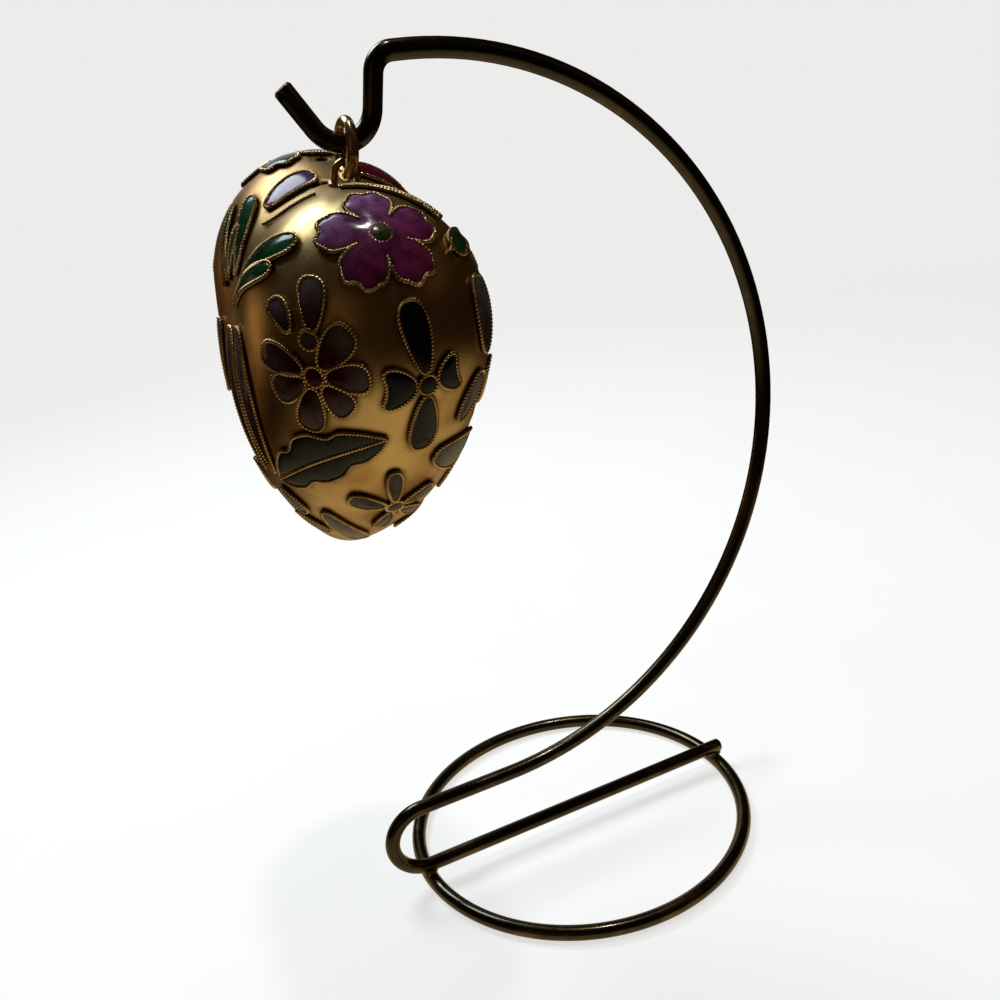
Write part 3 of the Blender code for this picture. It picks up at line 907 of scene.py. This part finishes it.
class Tree(Nodes):
    """A Geometry Nodes tree with named inputs."""

    def __init__(self, name, **inputs):
        super().__init__(bpy.data.node_groups.new(name, "GeometryNodeTree"))
        face = self.tree.interface
        face.new_socket("Geometry", in_out="INPUT", socket_type="NodeSocketGeometry")
        for label, value in inputs.items():
            face.new_socket(label, in_out="INPUT", socket_type="NodeSocketFloat").default_value = value
        face.new_socket("Geometry", in_out="OUTPUT", socket_type="NodeSocketGeometry")
        self.start = self.tree.nodes.new("NodeGroupInput")
        self.end = self.tree.nodes.new("NodeGroupOutput")

    def input(self, name):
        return Value(self.tree, self.start.outputs[name])

    def profile(self, sides):
        """A circle as wide as the wire."""
        radius = self.input("Width") * 0.5
        settings = {"mode": "RADIUS"}
        return self.node("GeometryNodeCurvePrimitiveCircle", settings, Resolution=sides, Radius=radius)

    def sweep(self, path, profile, material, **more):
        """Ends the tree in a profile swept along a path."""
        swept = self.node(
            "GeometryNodeCurveToMesh", Curve=path, Profile_Curve=profile, Fill_Caps=True, **more
        )
        smooth = self.node("GeometryNodeSetShadeSmooth", Geometry=swept)
        real = self.node("GeometryNodeRealizeInstances", Geometry=smooth)
        painted = self.node("GeometryNodeSetMaterial", Geometry=real, Material=material)
        join(self.tree, painted, self.end.inputs[0])
        return self.tree


# The twisted wire's steps to each pitch, and its two-lobed section: its mean radius and its swell, as
# shares of half its width
ROPE_STEPS = 6.0
ROPE_SIDES = 8
ROPE_MIDDLE = 0.76
ROPE_SWELL = 0.24


def rope_tree(material):
    """Turns each spline into a wire of two twisted strands, with so many steps to each pitch."""
    tree = Tree("Twisted wire", Width=1 * MM, Pitch=1 * MM, Steps=ROPE_STEPS)
    pitch = tree.input("Pitch")
    step = pitch / tree.input("Steps")
    settings = {"mode": "LENGTH"}
    even = tree.node("GeometryNodeResampleCurve", settings, Curve=tree.input("Geometry"), Length=step)
    length = tree.node("GeometryNodeSplineLength")
    half_turns = tree.node("ShaderNodeMath", {"operation": "ROUND"}, _0=length * 2.0 / pitch)
    factor = tree.node("GeometryNodeSplineParameter")
    twisted = tree.node("GeometryNodeSetCurveTilt", Curve=even, Tilt=factor * half_turns * math.pi)
    place = tree.node("GeometryNodeInputPosition")
    across = tree.node("ShaderNodeSeparateXYZ", Vector=place)
    up = tree.node("ShaderNodeSeparateXYZ", output=1, Vector=place)
    angle = tree.node("ShaderNodeMath", {"operation": "ARCTAN2"}, _0=up, _1=across)
    wave = tree.node("ShaderNodeMath", {"operation": "COSINE"}, _0=angle * 2.0)
    waist = ROPE_MIDDLE + ROPE_SWELL * wave
    shaped = tree.node("ShaderNodeVectorMath", {"operation": "SCALE"}, Vector=place, Scale=waist)
    section = tree.node("GeometryNodeSetPosition", Geometry=tree.profile(ROPE_SIDES), Position=shaped)
    return tree.sweep(twisted, section, material)


def tube_tree(material, sides):
    """Turns each spline into a round wire, wider or narrower by the spline's own radius."""
    tree = Tree("Round wire", Width=1 * MM)
    radius = tree.node("GeometryNodeInputRadius")
    return tree.sweep(tree.input("Geometry"), tree.profile(sides), material, Scale=radius)


def grown_mesh(name, splines, tree, **inputs):
    """Runs a tree on splines, each (points, closed, radii), and gives the plain mesh that it makes."""
    curve = bpy.data.curves.new(name, "CURVE")
    curve.dimensions = "3D"
    for points, closed, radii in splines:
        spline = curve.splines.new("POLY")
        spline.points.add(len(points) - 1)
        spline.points.foreach_set("co", np.column_stack([points, np.ones(len(points))]).ravel())
        spline.points.foreach_set("radius", np.ones(len(points)) if radii is None else radii)
        spline.use_cyclic_u = closed
    guide = bpy.data.objects.new(name + "_guide", curve)
    bpy.context.scene.collection.objects.link(guide)
    modifier = guide.modifiers.new("Nodes", "NODES")
    modifier.node_group = tree
    items = tree.interface.items_tree
    sockets = {item.name: item.identifier for item in items if item.in_out == "INPUT"}
    for label, value in inputs.items():
        modifier[sockets[label]] = value
    bpy.context.view_layer.update()
    graph = bpy.context.evaluated_depsgraph_get()
    mesh = bpy.data.meshes.new_from_object(guide.evaluated_get(graph), depsgraph=graph)
    mesh.name = name
    guide.modifiers.remove(modifier)
    bpy.data.objects.remove(guide, do_unlink=True)
    return mesh


# ---- Operators

# A cut end's chamfer: its length in wire diameters, and how wide the end is left
CHAMFER_LENGTH = 0.12
CHAMFER_WIDTH = 0.8

STAND_SIDES = 24
RING_STEPS = 160
HANGER_SIDES = 20
JUMP_STEPS = 96
EYELET_STEPS = 32
EYELET_SINK = 0.2 * MM


def chamfered(points, diameter):
    """A wire's path and its widths along it, with both cut ends chamfered."""
    points = np.array(points)
    ends = []
    for tip, inner in ((points[0], points[1]), (points[-1], points[-2])):
        ends.append(tip + unit(inner - tip) * (CHAMFER_LENGTH * diameter))
    path = np.concatenate([points[:1], ends[:1], points[1:-1], ends[1:], points[-1:]])
    widths = np.ones(len(path))
    widths[[0, -1]] = CHAMFER_WIDTH
    return path, False, widths


class HEART_OT_stand(bpy.types.Operator):
    """Builds the bent stand wire and the base ring"""

    bl_idname = "heart.stand"
    bl_label = "Stand wire and base ring"

    def execute(self, context):
        width = sizes().stand
        material = antique_brass(colours().antique)
        tree = tube_tree(material, STAND_SIDES)
        points = [BAR_PLACE + point for point in stand_points()[0]]
        mesh = grown_mesh("stand_wire_fine", [chamfered(points, width)], tree, Width=width)
        new_piece("stand_wire_fine", mesh, material, ["stand_wire"])
        ring = [STAND_CENTRE + Vector((x, y, width / 2)) for x, y in circle(RING_RADIUS, RING_STEPS)]
        mesh = grown_mesh("base_ring_fine", [(ring, True, None)], tree, Width=width)
        new_piece("base_ring_fine", mesh, material, ["base_ring"])
        return {"FINISHED"}


class HEART_OT_hanger(bpy.types.Operator):
    """Builds the jump ring and the eyelet"""

    bl_idname = "heart.hanger"
    bl_label = "Jump ring and eyelet"

    def execute(self, context):
        material = gilt_wire(colours().gilt, "gilt_ring")
        matrix = cleft_to_world()
        ring = [(x, 0.0, z + JUMP_CENTRE_RISE) for x, z in circle(JUMP_CENTRE_RADIUS, JUMP_STEPS)]
        bend = JUMP_LIFT + JUMP_WIRE + JOINT_GAP + EYELET_WIRE / 2 - EYELET_RADIUS
        arc = [math.pi - math.pi * i / EYELET_STEPS for i in range(EYELET_STEPS + 1)]
        loop = [(0.0, EYELET_RADIUS * math.cos(a), bend + EYELET_RADIUS * math.sin(a)) for a in arc]
        loop = [(0.0, -EYELET_RADIUS, -EYELET_SINK), *loop, (0.0, EYELET_RADIUS, -EYELET_SINK)]
        tree = tube_tree(material, HANGER_SIDES)
        for name, points, closed, width, node in (
            ("jump_ring_fine", ring, True, JUMP_WIRE, "jump_ring"),
            ("eyelet_fine", loop, False, EYELET_WIRE, "eyelet"),
        ):
            placed = [matrix @ Vector(point) for point in points]
            mesh = grown_mesh(name, [(placed, closed, None)], tree, Width=width)
            new_piece(name, mesh, material, [node])
        return {"FINISHED"}


# Half the width, depth and height of a lump of solder, and how its surface waves
WELD_SIZE = (1.35 * MM, 1.2 * MM, 0.75 * MM)
EYELET_SOLDER_SIZE = (0.95 * MM, 0.8 * MM, 0.42 * MM)
LUMP_LEVELS = 4
LUMP_WAVES = np.array([[3.1, -1.3], [1.7, 2.9], [2.3, 1.9]])
LUMP_WAVE_HEIGHT = 0.12


def lump(place, right, up, size, seed):
    """A closed, uneven blob of solder. Points and faces."""
    directions, faces = ball_directions(LUMP_LEVELS)
    one, other = (directions @ LUMP_WAVES).T
    waves = np.sin(2 * one + seed) * np.sin(2.4 * other)
    axes = np.array([right, np.cross(up, right), up]) * np.array(size)[:, None]
    return place + (directions * (1 + LUMP_WAVE_HEIGHT * waves)[:, None]) @ axes, faces


class HEART_OT_solder(bpy.types.Operator):
    """Adds the weld blobs between bar and base ring, and the solder at the eyelet's feet"""

    bl_idname = "heart.solder"
    bl_label = "Solder"

    def execute(self, context):
        material = solder()
        reach = math.sqrt(RING_RADIUS**2 - BAR_OFFSET**2)
        x_axis, _, up = np.eye(3)
        for name, side in (("weld_right", 1), ("weld_left", -1)):
            place = np.array([STAND_CENTRE.x + side * reach, BAR_OFFSET, STAND_WIRE + JOINT_GAP / 2])
            points, faces = lump(place, x_axis, up, WELD_SIZE, side)
            new_mesh(name, points, faces, material)
        matrix = cleft_to_world()
        right, _, up = (np.array(matrix.col[i][:3]) for i in range(3))
        for name, side in (("eyelet_solder_front", -1), ("eyelet_solder_back", 1)):
            place = np.array(matrix @ Vector((0.0, side * EYELET_RADIUS, 0.0)))
            points, faces = lump(place, right, up, EYELET_SOLDER_SIZE, 2 + side)
            new_mesh(name, points, faces, gilt_wire(colours().gilt, "gilt_solder"))
        return {"FINISHED"}


# How far from a wire the ground is still looked at, how wide its brown edge of patina and painted shade
# is and how fast that fades.
# A wire's plane takes only what faces it
GROUND_LEVELS = 7
GROUND_REACH = 4 * MM
FACING = 0.3
SHADE_WIDTH = 0.75 * MM
SHADE_POWER = 1.4

# A vent's depth, and its rim and the width of its edge as shares of its radius. Its dark is painted
# shade on a shallow dent
VENT_DEPTH = 0.2 * MM
VENT_RIM = 1.15
VENT_EDGE = 0.3


class HEART_OT_ground(bpy.types.Operator):
    """Builds the heart's gilt ground, sunk between the enamel cells"""

    bl_idname = "heart.ground"
    bl_label = "Gilt ground"

    def execute(self, context):
        directions, faces = ball_directions(GROUND_LEVELS)
        surface = heart_surface(directions)
        near = np.full(len(directions), GROUND_REACH)
        for wire in PATTERN.wires:
            middle = wire.points.mean(axis=0)
            reach = np.linalg.norm(wire.points - middle, axis=1).max() + GROUND_REACH
            facing = np.flatnonzero(directions @ wire.plane.outward > FACING)
            points = wire.plane.shadow(directions[facing])
            close = np.linalg.norm(points - middle, axis=1) < reach
            distance = edge_distance(points[close], wire.points, wire.closed)
            near[facing[close]] = np.minimum(near[facing[close]], distance)
        vent_dent_and_shade = np.zeros(len(directions))
        # Each vent: a shallow dent whose dark is painted shade
        for longitude, latitude, radius in VENTS:
            middle = heart_surface(directions_at([longitude], [latitude]))
            away = np.linalg.norm(surface - middle, axis=1) / (radius * MM)
            vent_dent_and_shade = np.maximum(vent_dent_and_shade, np.clip((VENT_RIM - away) / VENT_EDGE, 0, 1))
        depth = context.scene.heart_enamel_sizes.ground_depth + VENT_DEPTH * vent_dent_and_shade
        points = to_world(surface - outward_normals(surface) * depth[:, None])
        material = gilt_ground(colours().gilt)
        piece = new_mesh("heart_ground", points, faces, material, ["heart"])
        # The shade attribute: brown patina and painted shade beside the wires
        add_attribute(piece, "shade", "FLOAT", np.exp(-((near / SHADE_WIDTH) ** SHADE_POWER)))
        add_attribute(piece, "vent_dent_and_shade", "FLOAT", vent_dent_and_shade)
        return {"FINISHED"}


# How much of the grain stays free beside a cell's outline, and the sheet's kind and the least distance
# between two of its points
RIM_SHARE = 0.6
INSIDE_ONLY = 1
LEAST_GAP = 1e-9


def enamel_sheet(cell, grain):
    """A triangulated sheet inside a cell's outline, and how far each point lies from the edge."""
    low, high = cell.outline.min(axis=0), cell.outline.max(axis=0)
    across = np.arange(low[0], high[0], grain)
    up = np.arange(low[1], high[1], grain)
    grid = np.array([(x + (j % 2) * grain / 2, y) for j, y in enumerate(up) for x in across])
    grid = grid[edge_distance(grid, cell.outline) > RIM_SHARE * grain]
    count = len(cell.outline)
    rim = [(i, (i + 1) % count) for i in range(count)]
    points = [Vector(point) for point in np.concatenate([cell.outline, grid])]
    flat, _, faces, *_ = delaunay_2d_cdt(points, rim, [list(range(count))], INSIDE_ONLY, LEAST_GAP)
    flat = np.array([tuple(point) for point in flat])
    return flat, faces, edge_distance(flat, cell.outline)


# A cell smaller than this has a mesh twice as fine
SMALL_CELL = 3 * MM

# How high the enamel stands at its edge, with a blossom's eye above the rest, how soon it swells to its
# dome, and how far it reaches under the ground
CELL_LIFT = -0.16 * MM
EYE_LIFT = -0.02 * MM
SWELL_REACH = 0.8 * MM
ENAMEL_ROOT = 0.12 * MM


class HEART_OT_enamel(bpy.types.Operator):
    """Fills every cell of the pattern with enamel"""

    bl_idname = "heart.enamel"
    bl_label = "Enamel"

    def execute(self, context):
        enamel = context.scene.heart_enamel_sizes
        points, faces, tones = [], [], []
        count = 0
        for cell in PATTERN.cells:
            small = np.ptp(cell.outline, axis=0).max() < SMALL_CELL
            flat, tops, inward = enamel_sheet(cell, enamel.grain / (2 if small else 1))
            surface = cell.plane.onto_heart(flat)
            normals = outward_normals(surface)
            swell = 1 - np.exp(-inward / SWELL_REACH)
            lift = (EYE_LIFT if cell.enamel == "eye" else CELL_LIFT) + enamel.dome * swell
            points.append(surface + normals * lift[:, None])
            points.append(surface - normals * (enamel.ground_depth + ENAMEL_ROOT))
            under = count + len(flat)
            faces += [[count + i for i in face] for face in tops]
            faces += [[under + i for i in reversed(face)] for face in tops]
            faces += [[count + b, count + a, under + a, under + b] for a, b in rim_edges(tops)]
            tones += [cell_tones(cell, flat, inward)] * 2
            count += 2 * len(flat)
        colour = np.column_stack([np.concatenate(tones), np.ones(count)])
        points = to_world(np.concatenate(points))
        piece = new_mesh("heart_enamel", points, faces, fired_enamel())
        add_attribute(piece, "enamel", "FLOAT_COLOR", colour)
        return {"FINISHED"}


# Where a petal's colour starts to change and over how much of its length, as shares of it
TONE_START = 0.35
TONE_RUN = 0.6

# Painted light and reflection on the plum blossoms: the way in which they pale, to the left and up, how
# much they do so in their middle, over what reach and how fast, and what they pale to
PAINTED_LIGHT_SIDE = np.array([-0.6, 0.8])
PAINTED_LIGHT_MIDDLE = 0.3
PAINTED_LIGHT_REACH = 11 * MM
PAINTED_LIGHT_POWER = 1.4
PAINTED_LIT_PLUM = (0.6, 0.31, 0.72)

# The rays of a blossom's eye, its mean brightness and how much they change it
EYE_RAYS = 10
EYE_TONE = 0.8
EYE_CONTRAST = 0.35

# Painted shade in the enamel beside a wire: how much darker it is, and how far that reaches
EDGE_PAINTED_SHADE = 0.55
EDGE_SHADE_WIDTH = 0.3 * MM


def cell_tones(cell, flat, inward):
    """The enamel's colour at each point: from a petal's start to its tip, paled with painted light on a
    plum blossom's upper left, and darker with painted shade beside the wire.
    """
    start, tip = np.array(ENAMELS[cell.enamel])
    away = np.linalg.norm(flat - cell.root, axis=1)
    share = np.clip((away / away.max() - TONE_START) / TONE_RUN, 0, 1)[:, None]
    colour = start + (tip - start) * share * share * (3 - 2 * share)
    if cell.enamel == "plum":
        # Painted light and reflection on the blossom's upper left
        side = np.clip(PAINTED_LIGHT_MIDDLE + flat @ PAINTED_LIGHT_SIDE / PAINTED_LIGHT_REACH, 0, 1)[:, None]
        colour = colour + (np.array(PAINTED_LIT_PLUM) - colour) * side**PAINTED_LIGHT_POWER
    if cell.enamel == "eye":
        middle = flat - flat.mean(axis=0)
        rays = np.cos(EYE_RAYS * np.arctan2(middle[:, 1], middle[:, 0]))
        colour = colour * (EYE_TONE + EYE_CONTRAST * rays[:, None])
    # Painted shade beside the wire
    return colour * (1 - EDGE_PAINTED_SHADE * np.exp(-inward / EDGE_SHADE_WIDTH))[:, None]


def rim_edges(faces):
    """The directed edges that only one face has."""
    seen = {}
    for face in faces:
        for a, b in zip(face, face[1:] + face[:1]):
            seen[(a, b)] = True
    return [(a, b) for a, b in seen if (b, a) not in seen]


# How far the twisted wire's middle lies under the surface
WIRE_SINK = 0.2 * MM


class HEART_OT_wires(bpy.types.Operator):
    """Lays twisted gilt wire round every cell"""

    bl_idname = "heart.wires"
    bl_label = "Twisted wires"

    def execute(self, context):
        material = gilt_wire(colours().gilt)
        splines = []
        for wire in PATTERN.wires:
            surface = wire.plane.onto_heart(wire.points)
            sunk = surface - outward_normals(surface) * WIRE_SINK
            splines.append((to_world(sunk), wire.closed, None))
        inputs = {"Width": sizes().rope, "Pitch": sizes().rope_pitch, "Steps": ROPE_STEPS}
        mesh = grown_mesh("heart_wires", splines, rope_tree(material), **inputs)
        new_piece("heart_wires", mesh, material)
        return {"FINISHED"}


# ---- Stage

# The camera, from the middle of the base ring's wire
CAMERA_PLACE = Vector((-59.83 * MM, -130.75 * MM, 115.94 * MM))
CAMERA_AIM = Vector((0.32167, 0.83407, -0.44816))
CAMERA_UP = Vector((0.29906, 0.35959, 0.88388))
SENSOR_WIDTH = 36.0
FOCAL_LENGTH = 34.77
LENS_SHIFT = 0.11
LAMP_TARGET = Vector((-0.02, 0.0, 0.08))

# The backdrop: the radii of its flat floor, and the bend up to its wall
FLOOR_RADII = (0.0, 0.3, 0.6)
BEND_START = 1.0
BEND_RADIUS = 0.5
BEND_STEPS = 16
WALL_TOP = 1.6

# The glowing card that metal and enamel see in place of the floor: painted floor reflection and painted
# light from below
CARD_RADII = (0.0, 0.1, 0.2, 0.45)
CARD_HEIGHT = -2.0 * MM
TURNED_STEPS = 96

WORLD_COLOUR = (1.0, 0.6, 0.32)
WORLD_STRENGTH = 0.015

WHITE = (1.0, 0.98, 0.95)
PALE = (0.84, 1.0, 1.08)
WARM = (1.0, 0.58, 0.28)

# Place, width, brightness and colour of each softbox
LAMPS = (
    ("key", (-0.09, 0.305, 0.45), 0.2, 6.5, PALE),
    ("ceiling", (0.066, 0.043, 0.644), 0.04, 95.0, WHITE),
    ("wall", (0.16, 0.85, 0.32), 0.45, 0.4, WHITE),
    ("left_back", (-0.5, 0.55, 0.12), 0.35, 0.3, WARM),
    ("front_fill", (-0.6, -0.5, 0.35), 0.5, 0.06, WARM),
    ("right_fill", (0.6, -0.35, 0.6), 0.5, 0.05, WARM),
)


class HEART_OT_stage(bpy.types.Operator):
    """Sets up the floor, the lights and the camera"""

    bl_idname = "heart.stage"
    bl_label = "Stage"

    def execute(self, context):
        scene = context.scene
        self.add_turned("backdrop", self.cove(), plain_floor(colours().floor), see_only=True)
        card = [(radius, CARD_HEIGHT) for radius in CARD_RADII]
        # A glowing card, no lamp: painted floor reflection and painted light from below
        self.add_turned("floor_glow", card, floor_glow(), see_only=False)
        for name, place, size, radiance, colour in LAMPS:
            self.add_lamp(name, Vector(place), size, radiance, colour)
        world = bpy.data.worlds.new("studio")
        scene.world = world
        world.use_nodes = True
        background = world.node_tree.nodes["Background"]
        background.inputs["Color"].default_value = rgba(WORLD_COLOUR)
        background.inputs["Strength"].default_value = WORLD_STRENGTH
        scene.view_settings.view_transform = "Standard"
        lens = bpy.data.cameras.new("camera")
        lens.sensor_width = SENSOR_WIDTH
        lens.lens = FOCAL_LENGTH
        lens.shift_y = LENS_SHIFT
        lens.clip_start = 0.01
        camera = bpy.data.objects.new("camera", lens)
        scene.collection.objects.link(camera)
        aim, up = CAMERA_AIM.normalized(), CAMERA_UP.normalized()
        right = aim.cross(up).normalized()
        turn = Matrix((right, right.cross(aim), -aim)).transposed()
        place = CAMERA_PLACE + STAND_CENTRE + Vector((0.0, 0.0, STAND_WIRE / 2))
        camera.matrix_world = Matrix.Translation(place) @ turn.to_4x4()
        scene.camera = camera
        return {"FINISHED"}

    def cove(self):
        """The backdrop's profile: a flat floor that curves up into a wall all round."""
        bend = [math.pi / 2 * i / BEND_STEPS for i in range(BEND_STEPS + 1)]
        floor = [(radius, 0.0) for radius in FLOOR_RADII]
        curve = [(BEND_START + BEND_RADIUS * math.sin(a), BEND_RADIUS * (1 - math.cos(a))) for a in bend]
        return floor + curve + [(BEND_START + BEND_RADIUS, WALL_TOP)]

    def add_turned(self, name, profile, material, see_only):
        """A profile turned round the stand's upright, seen by the camera alone or by all but it."""
        points = [(0.0, 0.0, profile[0][1])]
        for radius, height in profile[1:]:
            points += [(radius * x, radius * y, height) for x, y in circle(1.0, TURNED_STEPS)]
        pairs = [(i, (i + 1) % TURNED_STEPS) for i in range(TURNED_STEPS)]
        faces = [(0, 1 + a, 1 + b) for a, b in pairs]
        for ring in range(len(profile) - 2):
            low = 1 + ring * TURNED_STEPS
            high = low + TURNED_STEPS
            faces += [(low + a, high + a, high + b, low + b) for a, b in pairs]
        mesh = bpy.data.meshes.new(name)
        mesh.from_pydata(points, [], faces)
        mesh.materials.append(material)
        mesh.shade_smooth()
        item = bpy.data.objects.new(name, mesh)
        bpy.context.scene.collection.objects.link(item)
        item.visible_camera = see_only
        item.visible_diffuse = item.visible_glossy = item.visible_transmission = not see_only

    def add_lamp(self, name, place, size, radiance, colour):
        """A square softbox that faces the heart. Its power follows from how bright it looks."""
        lamp = bpy.data.lights.new(name, "AREA")
        lamp.shape = "SQUARE"
        lamp.size = size
        lamp.energy = radiance * math.pi * size**2
        lamp.color = colour
        item = bpy.data.objects.new(name, lamp)
        item.location = place
        item.rotation_euler = (place - LAMP_TARGET).to_track_quat("Z", "Y").to_euler()
        item.visible_camera = False
        bpy.context.scene.collection.objects.link(item)


# ---- Panel and start


class HEART_PT_panel(bpy.types.Panel):
    """Lists the builders and their sizes"""

    bl_idname = "HEART_PT_panel"
    bl_label = "Enamel heart"
    bl_space_type = "VIEW_3D"
    bl_region_type = "UI"
    bl_category = "Ornament"

    def draw(self, context):
        layout = self.layout
        scene = context.scene
        for group in (scene.heart_wire_sizes, scene.heart_enamel_sizes, scene.heart_metal_colours):
            for name in group.__annotations__:
                layout.prop(group, name)
        for operator in OPERATORS:
            layout.operator(operator.bl_idname)


GROUPS = (WireSizes, EnamelSizes, MetalColours)
OPERATORS = (
    HEART_OT_stand,
    HEART_OT_hanger,
    HEART_OT_solder,
    HEART_OT_ground,
    HEART_OT_enamel,
    HEART_OT_wires,
    HEART_OT_stage,
)


def register():
    for group in (*GROUPS, *OPERATORS, HEART_PT_panel):
        bpy.utils.register_class(group)
    bpy.types.Scene.heart_wire_sizes = bpy.props.PointerProperty(type=WireSizes)
    bpy.types.Scene.heart_enamel_sizes = bpy.props.PointerProperty(type=EnamelSizes)
    bpy.types.Scene.heart_metal_colours = bpy.props.PointerProperty(type=MetalColours)


def unregister():
    del bpy.types.Scene.heart_metal_colours
    del bpy.types.Scene.heart_enamel_sizes
    del bpy.types.Scene.heart_wire_sizes
    for group in reversed((*GROUPS, *OPERATORS, HEART_PT_panel)):
        bpy.utils.unregister_class(group)


def main():
    register()
    bpy.ops.heart.stand()
    bpy.ops.heart.hanger()
    bpy.ops.heart.solder()
    bpy.ops.heart.ground()
    bpy.ops.heart.enamel()
    bpy.ops.heart.wires()
    bpy.ops.heart.stage()


if __name__ == "__main__":
    main()
